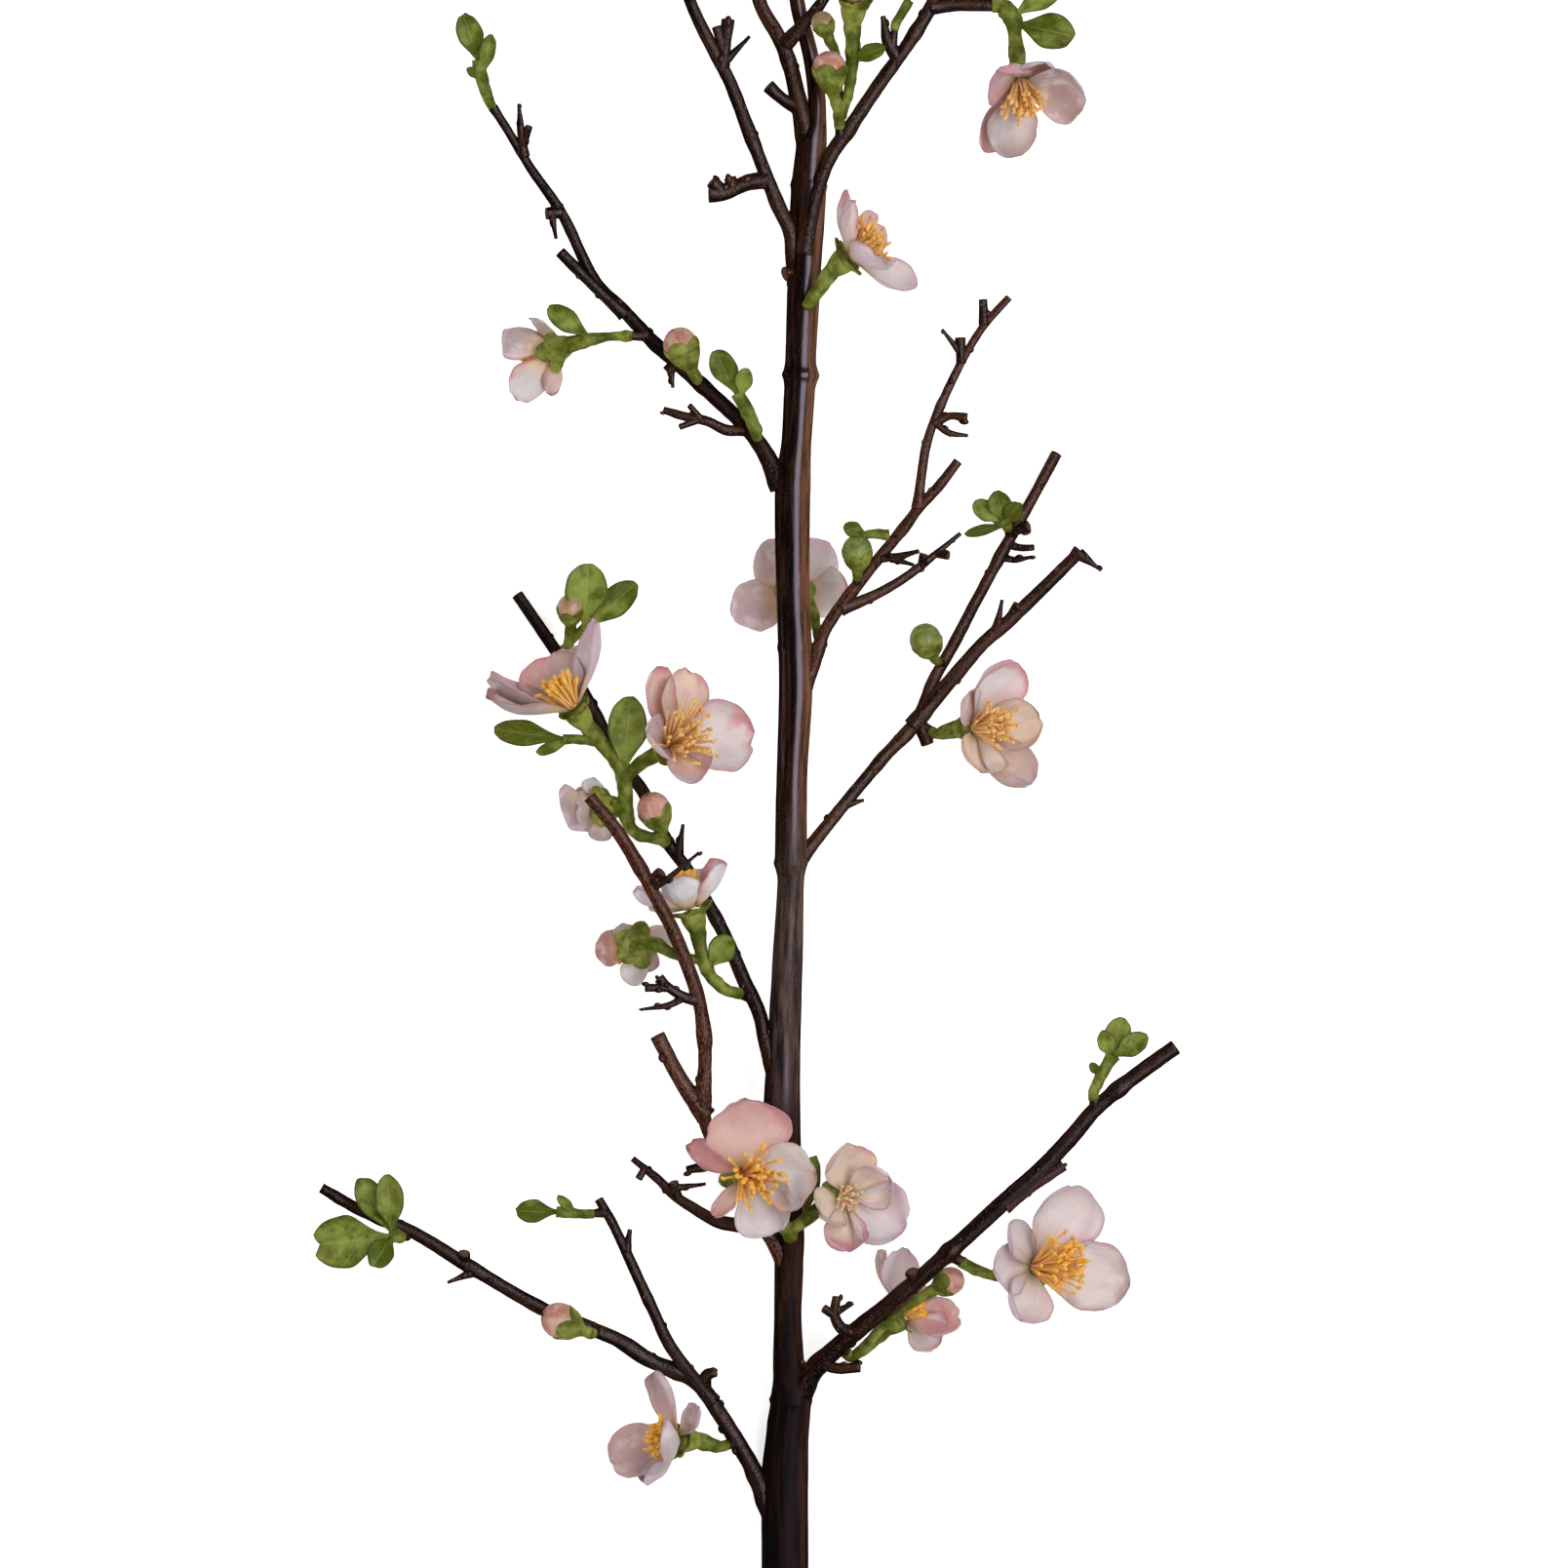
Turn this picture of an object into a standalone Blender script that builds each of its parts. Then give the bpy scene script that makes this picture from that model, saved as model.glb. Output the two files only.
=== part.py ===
"""A cut branch of flowering quince that lies on a flat surface.

The branch lies along +Y with its cut butt at the low end, and +Z is up. The origin is the centre of
the bounding box in plan, on the surface. Plan positions follow a photograph taken from above. The
branch rests on the flat underside of its butt, on the tip of a left branch and on that of a right one.

Routes and places are in millimetres, as (x, y, z, radius) or (x, y, z), and MM turns them into metres.
"""
import math
import random

import bmesh
import bpy
from mathutils import Matrix, Vector

MM = 0.001

# Driving dimensions, in millimetres
GAP = 0.3
PETAL_THICK = 0.7
LEAF_THICK = 0.8
LEAF_ROOT = 0.55
PETAL_CLAW = 0.14
PETAL_CUP = 0.3
PETAL_BOW = 0.1
CORE_RADIUS = 2.9
CORE_TOP = 1.5
PETAL_ROOT_RADIUS = 2.2
PETAL_ROOT_HEIGHT = 0.95
CALYX_LENGTH = 6.5
CALYX_LOBE = 4.4
CALYX_NOTCH = 3.0
STAMEN_DISC = 1.5
STAMEN_COUNT = 6
STAMEN_LEAN = 38.0
STAMEN_ROOM = 14.0

# Sides of the round pieces, as levels of a curve's bevel: 0 gives 4 sides, 1 gives 6, 2 gives 8.
# A branch that starts thinner than THIN_BRANCH has as few sides as a twig.
THIN_BRANCH = 1.6
STEM_LEVEL = 2
BRANCH_LEVEL = 1
TWIG_LEVEL = 0

# The main stem, from the butt to the leader's tip. The first three points are level, so that the
# facet under them is the flat spot that the branch rests on: its height is the facet's distance.
BUTT_RADIUS = 7.3
BUTT_HEIGHT = BUTT_RADIUS * math.cos(math.pi / 8)
STEM = [
    (11.9, -277.2, BUTT_HEIGHT, BUTT_RADIUS), (11.9, -262.8, BUTT_HEIGHT, BUTT_RADIUS),
    (11.9, -238.8, BUTT_HEIGHT, BUTT_RADIUS), (12.8, -223.8, 7.6, 6.6), (13.7, -214.8, 8.8, 6.3),
    (13.1, -206.4, 10.0, 4.9), (12.8, -187.8, 12.5, 4.2), (13.1, -172.8, 14.5, 4.3),
    (12.8, -163.8, 15.6, 4.8), (11.0, -127.8, 19.6, 5.4), (11.9, -97.8, 22.4, 4.7),
    (12.5, -82.8, 23.6, 4.5), (13.7, -53.7, 25.8, 3.9), (13.7, -48.3, 26.2, 4.7),
    (14.0, -22.8, 27.6, 4.5), (15.2, 7.2, 29.0, 4.9), (14.3, 37.2, 30.2, 4.9),
    (14.3, 67.2, 31.2, 5.2), (15.5, 82.2, 31.6, 4.3), (16.4, 97.2, 32.0, 4.3),
    (16.7, 101.7, 32.1, 4.9), (16.7, 106.2, 32.2, 4.3), (17.6, 127.2, 32.6, 4.5),
    (19.1, 157.2, 33.2, 4.6), (20.0, 172.2, 33.4, 4.0), (21.8, 183.6, 33.5, 2.6),
    (19.7, 200.1, 33.6, 2.3), (15.8, 215.4, 33.8, 2.2), (14.0, 235.2, 34.2, 2.0),
    (14.9, 256.2, 35.0, 1.7), (17.0, 277.2, 36.0, 1.3),
]

# The branches, each from inside what it grows from to its cut end
BRANCHES = {
    "upper_left": [
        (10.7, 67.2, 31.0, 2.3), (5.9, 77.7, 30.0, 2.1), (-0.1, 85.8, 29.0, 2.0),
        (-13.0, 98.1, 27.0, 1.9), (-27.7, 111.3, 25.0, 1.8), (-37.6, 121.8, 24.0, 1.7),
        (-46.6, 131.1, 23.5, 1.6), (-56.8, 151.8, 23.5, 1.4), (-66.4, 165.6, 24.0, 1.3),
        (-74.2, 178.5, 25.0, 1.2), (-78.1, 184.5, 25.5, 1.2)],
    "upper_left_stub": [
        (-37.6, 120.6, 24.4, 1.5), (-48.1, 130.5, 27.0, 1.5), (-57.4, 139.8, 28.5, 1.5)],
    "top_left": [
        (16.1, 129.6, 33.0, 2.2), (14.6, 138.6, 34.0, 2.0), (13.7, 145.2, 35.0, 1.9),
        (9.8, 153.6, 35.5, 1.8), (1.1, 175.8, 36.5, 1.7),
        (-4.9, 191.4, 37.0, 1.6), (-8.5, 198.3, 37.2, 1.6), (-16.9, 215.4, 38.0, 1.5),
        (-22.6, 233.7, 39.0, 1.3), (-26.8, 251.7, 40.0, 1.1)],
    "top_middle": [
        (19.1, 172.2, 33.5, 2.4), (15.8, 187.2, 34.5, 2.1), (13.1, 197.4, 35.0, 2.0),
        (10.1, 205.2, 35.3, 1.9), (4.4, 215.4, 36.0, 1.8), (0.8, 232.2, 37.0, 1.6),
        (-1.6, 248.7, 38.0, 1.3), (-0.4, 262.2, 39.0, 1.0)],
    "top_right": [
        (17.9, 138.6, 36.0, 2.1), (20.9, 155.7, 37.0, 2.0), (25.1, 167.4, 37.6, 2.0),
        (32.0, 177.6, 38.2, 1.9), (40.7, 190.5, 39.5, 1.8), (49.4, 202.5, 41.0, 1.8),
        (56.9, 214.8, 42.0, 1.8), (63.8, 230.7, 43.5, 1.6), (71.9, 245.7, 45.0, 1.4),
        (77.0, 259.2, 46.0, 1.1)],
    "top_right_arm": [
        (56.3, 214.0, 42.0, 1.7), (65.9, 214.8, 42.3, 1.8), (76.0, 214.4, 42.6, 1.7)],
    "right_upper": [
        (17.6, 5.7, 29.0, 2.4), (20.6, 12.6, 30.0, 2.2), (24.8, 24.3, 31.5, 2.1),
        (38.3, 42.3, 34.2, 1.9), (48.8, 55.2, 36.0, 1.8),
        (53.0, 60.9, 37.0, 1.8), (59.0, 67.2, 38.0, 1.7), (65.0, 75.0, 39.0, 1.6)],
    "right_upper_shoot": [
        (52.7, 60.6, 37.0, 1.5), (53.6, 69.0, 37.6, 1.4), (55.1, 79.2, 38.3, 1.4),
        (57.5, 87.0, 39.0, 1.3), (61.7, 96.6, 39.8, 1.3), (66.8, 106.8, 40.5, 1.2),
        (72.8, 116.4, 41.2, 1.2), (80.6, 125.1, 42.0, 1.1)],
    "right_upper_twig": [
        (29.0, 30.0, 32.3, 1.3), (35.0, 32.1, 31.8, 1.2), (43.7, 36.3, 31.0, 1.1),
        (51.5, 41.4, 30.0, 1.0), (65.9, 53.1, 28.0, 0.5)],
    "right_lower": [
        (14.0, -51.9, 25.5, 2.3), (17.0, -46.8, 25.5, 2.3), (21.2, -41.4, 25.0, 2.1),
        (41.9, -16.2, 21.3, 2.0), (52.4, -4.8, 19.0, 2.1),
        (57.8, 8.1, 16.8, 1.9), (64.4, 19.8, 14.6, 1.9), (71.3, 33.0, 12.2, 1.8),
        (82.4, 53.4, 8.0, 1.8), (89.3, 65.7, 4.8, 1.8),
        (96.2, 78.6, 1.54, 1.8)],
    "right_lower_fork": [
        (51.2, -6.3, 19.2, 1.9), (64.4, 9.6, 21.0, 1.9),
        (72.8, 19.2, 22.0, 1.8), (81.5, 26.7, 23.0, 1.8),
        (100.4, 45.3, 25.0, 1.6), (102.8, 48.0, 25.3, 1.9)],
    "left_back": [
        (9.5, -112.8, 21.5, 2.3), (6.2, -104.4, 22.0, 2.1), (3.8, -94.2, 21.0, 2.0),
        (-0.7, -84.6, 19.6, 2.0), (-7.0, -70.2, 17.6, 1.9),
        (-16.9, -52.5, 15.0, 1.8), (-24.4, -42.0, 13.4, 1.8), (-32.2, -26.1, 11.4, 1.8),
        (-39.1, -17.4, 10.2, 1.8), (-49.6, 2.7, 7.6, 1.7), (-59.2, 17.4, 4.8, 1.7),
        (-71.2, 34.8, 1.49, 1.7)],
    "left_front": [
        (11.9, -171.3, 15.5, 2.2), (8.0, -164.7, 18.0, 2.0),
        (-0.4, -152.4, 20.2, 1.8), (-7.6, -139.8, 21.6, 1.8), (-11.8, -130.8, 22.8, 1.8),
        (-13.3, -124.2, 24.0, 1.9), (-12.7, -108.3, 27.8, 1.9),
        (-13.3, -98.1, 30.0, 1.9), (-15.1, -88.5, 32.0, 1.9),
        (-21.4, -71.4, 35.0, 1.9), (-25.0, -63.9, 36.0, 1.8),
        (-38.5, -39.9, 39.0, 1.8), (-48.1, -27.9, 40.0, 1.7)],
    "left_front_stub": [
        (-12.4, -126.6, 23.5, 1.8), (-15.1, -123.0, 24.0, 1.8), (-21.1, -113.7, 25.0, 1.8),
        (-27.4, -101.4, 26.0, 1.8)],
    "left_front_twig": [
        (5.6, -161.4, 18.8, 1.4), (-0.4, -160.5, 18.6, 1.4), (-9.1, -159.0, 18.0, 1.2),
        (-16.3, -155.1, 17.4, 1.1), (-22.3, -151.2, 17.0, 1.0), (-27.1, -146.4, 16.6, 0.9),
        (-35.2, -139.8, 16.0, 0.6)],
    "left_lower": [
        (10.4, -253.8, 6.8, 2.4), (5.9, -246.9, 7.6, 2.2), (4.4, -241.8, 8.3, 2.1),
        (0.5, -233.4, 9.8, 2.0), (-8.8, -218.1, 12.6, 2.0),
        (-15.7, -208.8, 14.4, 2.0), (-30.1, -201.9, 17.0, 1.9), (-39.4, -195.9, 18.4, 1.8),
        (-48.4, -192.0, 19.6, 1.8), (-62.2, -186.3, 21.0, 1.7),
        (-84.4, -173.4, 22.8, 1.7), (-102.7, -162.3, 24.0, 1.6), (-118.9, -155.4, 24.8, 1.5),
        (-130.9, -148.5, 25.5, 1.3)],
    "left_lower_fork": [
        (-10.3, -215.1, 13.6, 1.6), (-18.7, -204.3, 18.0, 1.6), (-24.1, -196.5, 20.5, 1.6),
        (-28.6, -186.6, 23.0, 1.5), (-40.6, -160.5, 28.0, 1.3),
        (-45.4, -151.8, 29.5, 1.2)],
    "right_base": [
        (15.8, -213.6, 9.6, 2.9), (21.2, -204.9, 13.5, 2.5),
        (27.2, -198.9, 16.6, 2.4), (35.3, -191.7, 20.2, 2.4), (44.9, -183.9, 23.5, 2.3),
        (61.7, -168.9, 27.4, 2.2),
        (81.8, -150.3, 30.2, 2.2), (92.3, -140.7, 31.4, 2.1), (100.4, -132.0, 32.4, 2.1),
        (107.3, -123.9, 33.2, 2.0), (118.7, -114.3, 34.2, 2.0), (131.9, -104.7, 35.0, 2.0)],
    "right_base_stub": [
        (79.4, -154.2, 29.6, 1.5), (88.4, -147.3, 30.0, 1.5), (97.7, -141.3, 30.2, 1.4)],
}

# Spurs with rounded knobs, short twigs and thorns, each from inside its branch to its end
TWIGS = [
    [(6.5, 161.5, 36, 1.6), (0.2, 160.5, 37, 1.6), (-6.7, 157.2, 38, 1.5), (-11.5, 157.0, 38.3, 1.8)],
    [(-4.0, 158.5, 37.6, 1.1), (-4.9, 162.0, 38.5, 1.2)],
    [(-6.7, 157.4, 38, 1.2), (-10.6, 160.8, 39.5, 1.3)],
    [(-7.2, 196.0, 37.2, 1.2), (-6.2, 203.0, 38.3, 1.1), (-5.5, 210.6, 39, 1.4)],
    [(-6.7, 200.5, 37.9, 0.9), (-9.0, 208.2, 40, 1.1)],
    [(-6.8, 197.4, 37.4, 0.8), (1.1, 205.2, 40, 0.35)],
    [(15.5, 133.6, 33.5, 1.2), (11.9, 132.7, 35.5, 1.4)],
    [(15.5, 184.0, 34.4, 1.3), (11.0, 186.5, 35.5, 1.2), (6.8, 190.2, 37, 1.4)],
    [(12.0, 203.0, 36, 1.4), (17.0, 208.5, 38.3, 1.4), (21.8, 213.9, 39.5, 1.3), (27, 221, 40.5, 1.0)],
    [(-68.5, 169.5, 24.4, 1.0), (-69.4, 177.0, 26.5, 0.9), (-70, 185.4, 28, 0.4)],
    [(-68.9, 172.4, 25.2, 0.8), (-66.9, 178.5, 28, 0.8)],
    [(-57.0, 152.2, 23.5, 1.1), (-61.6, 151.8, 25, 1.2)],
    [(-60.0, 151.9, 24.6, 0.8), (-58.6, 144.0, 27, 0.4)],
    [(-21.5, 106.0, 25.9, 1.1), (-24.2, 103.0, 26.5, 1.2)],
    [(-23.4, 103.8, 26.4, 0.8), (-22.6, 98.1, 27.5, 0.4)],
    [(-0.5, 85.0, 29, 1.2), (-6.0, 84.9, 29.5, 1.1), (-12.1, 87.6, 30.5, 1.1), (-19.6, 89.2, 31, 1.0),
     (-25.5, 91.0, 31.5, 0.8)],
    [(-14.0, 88.0, 30.7, 0.8), (-17.5, 92.5, 32, 0.6)],
    [(-15.0, 88.2, 30.8, 0.8), (-20.5, 85.6, 32, 0.6)],
    [(73.0, 116.8, 41.3, 1.0), (72.6, 124.5, 42, 0.9)],
    [(66.0, 105.0, 40.4, 0.9), (65.6, 112.8, 41.5, 1.1)],
    [(65.8, 108.0, 40.9, 0.7), (60.0, 115.2, 42.5, 0.4)],
    [(57.6, 86.5, 39, 0.9), (62.5, 88.8, 40, 0.8), (67.7, 88.2, 40.8, 1.0)],
    [(58.3, 86.6, 39.1, 0.7), (62.0, 83.8, 39.6, 0.7), (68.0, 82.8, 40, 0.4)],
    [(58.5, 46.8, 29, 0.7), (62.3, 46.2, 30.5, 0.8)],
    [(54.0, 43.0, 29.7, 0.8), (54.6, 46.5, 31.2, 0.8)],
    [(41.5, 45.5, 34.9, 0.9), (46.5, 45.8, 36.5, 0.8), (53.0, 47.4, 38.5, 0.5)],
    [(44.5, 45.2, 35.9, 0.7), (51.5, 43.2, 37.5, 0.4)],
    [(30.0, -30.5, 23.6, 0.9), (36.2, -29.0, 24.5, 0.4)],
    [(83.2, 54.6, 7.7, 1.0), (87.4, 55.8, 9.5, 1.2)],
    [(80.8, 50.5, 8.6, 0.9), (84.5, 49.2, 9.8, 0.8), (89.0, 49.2, 11, 0.7)],
    [(78.8, 46.4, 9.5, 0.8), (83.0, 45.4, 10.8, 0.7), (88.6, 46.3, 12, 0.4)],
    [(75.5, 21.5, 22.4, 0.9), (77.3, 25.5, 24, 0.8), (78.8, 32.7, 25.5, 0.4)],
    [(81.5, 27.5, 23, 0.9), (83.8, 31.3, 24.5, 1.1)],
    [(102.4, 47.0, 25.2, 1.1), (109.3, 41.8, 26.5, 0.4)],
    [(54.0, -6.6, 19.4, 1.2), (55.9, -11.8, 20.2, 1.3)],
    [(-21.2, -46.8, 14.3, 1.0), (-19.6, -36.5, 17.5, 0.4)],
    [(-30.2, -55.0, 37.2, 1.0), (-25.9, -51.0, 39.5, 1.2)],
    [(-29.5, -56.2, 37.1, 0.8), (-25.9, -54.4, 38.6, 0.7), (-14.4, -45.0, 41, 0.35)],
    [(-14.8, -90.5, 31.6, 1.2), (-19.0, -89.5, 33, 1.1), (-24.4, -86.1, 34.5, 1.0), (-26.8, -83.6, 35, 1.2)],
    [(-24.0, -86.6, 34.3, 0.8), (-31.0, -86.6, 35.5, 0.9)],
    [(-19.5, -89.6, 33, 0.8), (-23.5, -91.8, 34, 0.7), (-32.5, -93.3, 35, 0.35)],
    [(-21.5, -151.6, 17.1, 0.9), (-22.5, -147.0, 19, 1.0)],
    [(-22.0, -148.8, 18.3, 0.7), (-12.6, -147.5, 19, 0.35)],
    [(-31.5, -142.8, 16.2, 0.7), (-33.4, -146.0, 17, 0.8)],
    [(-7.6, -140.0, 21.6, 1.2), (-12.4, -141.8, 22.5, 1.1), (-18.4, -143.1, 23, 0.9)],
    [(-83.5, -174.2, 22.8, 1.0), (-92.0, -177.6, 25.5, 0.4)],
    [(-87.0, -171.8, 23, 1.0), (-86.9, -168.6, 25, 1.2)],
    [(-37.0, -167.8, 26.8, 0.9), (-35.8, -161.2, 28.5, 0.5)],
    [(-13.0, -210.2, 13.8, 1.2), (-12.4, -207.0, 15.8, 1.3), (-9.6, -205.6, 16.8, 1.1)],
    [(33.2, -193.6, 19.4, 1.3), (29.2, -191.8, 22, 1.2), (27.2, -187.5, 23.5, 1.1), (27.8, -182.1, 24.5, 1)],
    [(27.4, -188.0, 23.4, 0.8), (23.9, -185.6, 25, 0.9)],
    [(27.4, -187.0, 23.6, 0.8), (32.8, -184.0, 25.5, 0.5)],
    [(23.0, -202.5, 15, 1.3), (28.0, -204.5, 18, 1.2), (35.0, -204.0, 19.5, 1.2)],
    [(19.5, -207.5, 12.5, 0.9), (17.5, -202.5, 17, 0.5)],
    [(52.0, -177.0, 25.6, 1.0), (51.0, -174.0, 27.5, 1.2)],
    [(46.5, 198.5, 40.4, 1.3), (43.5, 203.5, 41.6, 1.3), (41.9, 211.2, 42.8, 0.6)],
]


class Bloom:
    """A bloom: the middle of its calyx rim, where it faces, and each petal's tip and width."""

    def __init__(self, place, facing, tips):
        self.place = Vector(place)
        self.facing = Vector(facing).normalized()
        self.tips = [(Vector(tip[:3]), tip[3]) for tip in tips]
        self.length = sum((tip - self.place).length for tip, _ in self.tips) / len(tips)

    def frame(self):
        """The bloom's own axes: Z is where it faces."""
        side = Vector((0, 0, 1)) if abs(self.facing.z) < 0.8 else Vector((0, 1, 0))
        across = side.cross(self.facing).normalized()
        up = self.facing.cross(across)
        turn = Matrix((across, up, self.facing)).transposed()
        return Matrix.Translation(self.place) @ turn.to_4x4()

    def behind(self, distance):
        """A point on the bloom's axis, behind the calyx rim."""
        return self.place - self.facing * distance

    def petal_root(self, tip):
        """Where the petal that ends at this tip starts on the bloom's core."""
        outward = tip - self.place
        outward -= self.facing * outward.dot(self.facing)
        return self.place + outward.normalized() * PETAL_ROOT_RADIUS + self.facing * PETAL_ROOT_HEIGHT

    def steepest(self):
        """How far a stamen may lean from the bloom's axis without meeting a petal, in degrees."""
        angles = [math.degrees((tip - self.petal_root(tip)).angle(self.facing)) for tip, _ in self.tips]
        return max(6.0, min(STAMEN_LEAN, min(angles) - STAMEN_ROOM))


BLOOMS = {
    1: Bloom((-59.0, 110.0, 24), (-0.72, -0.2, -0.65), [
        (-75.0, 115.2, 18.0, 15), (-70.0, 93.9, 18.0, 14), (-59.8, 95.7, 19.0, 8),
        (-67.6, 103.8, 7.0, 14), (-64.0, 119.1, 11.0, 12)]),
    2: Bloom((31.0, 137.0, 43), (0.75, 0.58, 0.3), [
        (29.6, 158.1, 41.0, 10), (40.4, 149.1, 32.0, 13), (52.7, 129.6, 40.0, 15),
        (42.8, 136.2, 56.0, 16), (31.7, 153.6, 53.0, 12)]),
    3: Bloom((83.9, 192.0, 43), (0.1, -0.75, 0.65), [
        (104.0, 186.0, 47.0, 22), (81.8, 167.1, 46.0, 14), (72.5, 170.1, 42.0, 10),
        (76.7, 192.6, 57.0, 15), (91.4, 195.6, 57.0, 13)]),
    4: Bloom((15.5, 34.4, 16), (-0.1, 0.12, -0.98), [
        (4.7, 50.4, 11.0, 16), (-4.6, 28.2, 12.0, 15), (24.2, 51.3, 12.0, 16),
        (31.7, 34.2, 13.0, 15), (14.0, 20.1, 11.0, 10)]),
    5: Bloom((-52.6, -1.2, 31), (-0.55, 0.75, 0.35), [
        (-46.9, 26.4, 35.0, 12), (-79.6, 8.1, 34.0, 14), (-61.0, 16.5, 23.0, 18),
        (-79.9, 3.3, 42.0, 14), (-54.1, 18.6, 19.0, 14)]),
    6: Bloom((-23.5, -12.3, 33), (0.5, 0.3, 0.8), [
        (-28.0, 12.0, 38.0, 13), (-18.4, 11.7, 31.0, 15), (2.6, -8.4, 32.0, 21),
        (-14.2, -23.1, 41.0, 15), (-30.4, -9.3, 47.0, 14)]),
    7: Bloom((-44.0, -31.2, 19.5), (-0.8, 0.0, -0.6), [
        (-47.8, -21.9, 15.5, 12), (-54.7, -37.2, 15.5, 15), (-52.6, -28.2, 7.5, 12),
        (-43.0, -41.4, 15.5, 10), (-52.0, -30.6, 23.5, 12)]),
    8: Bloom((-16.6, -63.3, 27.5), (-0.25, 0.93, 0.1), [
        (-35.2, -57.6, 24.5, 13), (-22.9, -53.7, 34.5, 13), (-7.0, -48.0, 31.5, 14),
        (-15.1, -50.4, 17.5, 13), (-29.2, -61.8, 20.5, 10)]),
    9: Bloom((-34.6, -73.8, 19.5), (-0.15, -0.2, -0.97), [
        (-47.2, -75.3, 15.5, 11), (-22.9, -69.3, 15.5, 8), (-34.0, -86.7, 15.5, 8),
        (-38.5, -67.5, 13.5, 8), (-28.6, -81.6, 12.5, 8)]),
    10: Bloom((-0.6, -144.3, 29), (0.05, 0.0, 1.0), [
        (0.2, -120.6, 35.0, 25), (21.2, -144.0, 35.0, 20), (10.4, -161.4, 34.0, 19),
        (-8.6, -156.6, 41.0, 7), (-18.4, -135.3, 32.0, 10)]),
    11: Bloom((29.5, -151.2, 29), (0.4, 0.0, 0.9), [
        (32.3, -135.0, 37.0, 17), (44.3, -144.9, 35.0, 14), (48.5, -161.4, 32.0, 19),
        (30.8, -167.7, 37.0, 12), (22.4, -156.0, 38.0, 13)]),
    12: Bloom((88.4, -172.8, 29), (0.5, 0.1, 0.85), [
        (101.9, -146.7, 34.0, 21), (117.5, -179.4, 32.0, 20), (83.0, -188.4, 43.0, 15),
        (76.1, -171.6, 45.0, 15), (81.8, -158.4, 44.0, 10)]),
    13: Bloom((47.9, -189.0, 13), (0.75, 0.55, 0.2), [
        (48.8, -167.7, 13.0, 13), (40.7, -168.3, 10.0, 9), (59.0, -198.3, 15.0, 14),
        (66.2, -190.8, 18.0, 14), (59.0, -184.2, 4.0, 12)]),
    14: Bloom((-20.5, -226.2, 20), (-0.85, 0.1, 0.5), [
        (-29.5, -205.5, 23.0, 11), (-14.5, -216.0, 29.0, 8), (-26.8, -231.0, 36.0, 18),
        (-31.0, -240.0, 25.0, 15), (-42.7, -232.2, 15.0, 17)]),
    15: Bloom((69.4, -6.6, 26), (0.7, 0.05, 0.7), [
        (82.4, 14.1, 29.0, 18), (91.4, -4.2, 27.0, 15), (87.2, -24.6, 29.0, 14),
        (71.0, -20.4, 36.0, 16), (68.0, 4.2, 37.0, 13)]),
    16: Bloom((33.2, 214.5, 45), (0.1, 0.95, 0.3), [
        (26.5, 230.7, 51.6, 11), (33.6, 227.9, 58.1, 11), (42.5, 228.5, 53.4, 11),
        (40.8, 231.6, 44.0, 11), (30.9, 233.0, 42.9, 11)]),
}
BLOOM_WITHOUT_STAMENS = 16


class Bud:
    """A round bud: its middle, the way its tip points and its radius."""

    def __init__(self, place, facing, radius, pink):
        self.place = Vector(place)
        self.facing = Vector(facing).normalized()
        self.radius = radius
        self.pink = pink

    def behind(self, distance):
        """A point on the bud's axis, behind its middle."""
        return self.place - self.facing * distance


BUDS = {
    1: Bud((-19.9, 110.4, 35), (-0.4, 0.88, 0.25), 5.2, True),
    2: Bud((25.6, 194.7, 44.8), (-0.15, 0.97, 0.15), 5.0, True),
    3: Bud((-54.4, 30.0, 17), (0.0, 0.95, 0.3), 4.0, False),
    4: Bud((-28.3, -32.1, 25.5), (-0.35, 0.85, 0.3), 5.0, True),
    5: Bud((34.1, 47.2, 39.4), (0.0, 0.95, 0.3), 4.5, False),
    6: Bud((55.4, 20.2, 24.0), (-0.35, 0.7, 0.6), 4.8, False),
    7: Bud((-57.1, -189.3, 28.5), (-0.85, 0.4, 0.3), 5.4, True),
    8: Bud((62.6, -177.6, 20.5), (0.85, 0.45, 0.2), 4.2, False),
    9: Bud((23.6, 208.8, 43.5), (-0.35, 0.9, 0.2), 3.4, False),
}


class Leaf:
    """A spoon-shaped leaf from its base to its tip, with its width and how its face leans."""

    def __init__(self, base, tip, width, lean=(0.0, 0.0, 1.0), notch=0.0):
        self.base = Vector(base)
        self.tip = Vector(tip)
        self.width = width
        self.lean = Vector(lean)
        self.notch = notch


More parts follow.
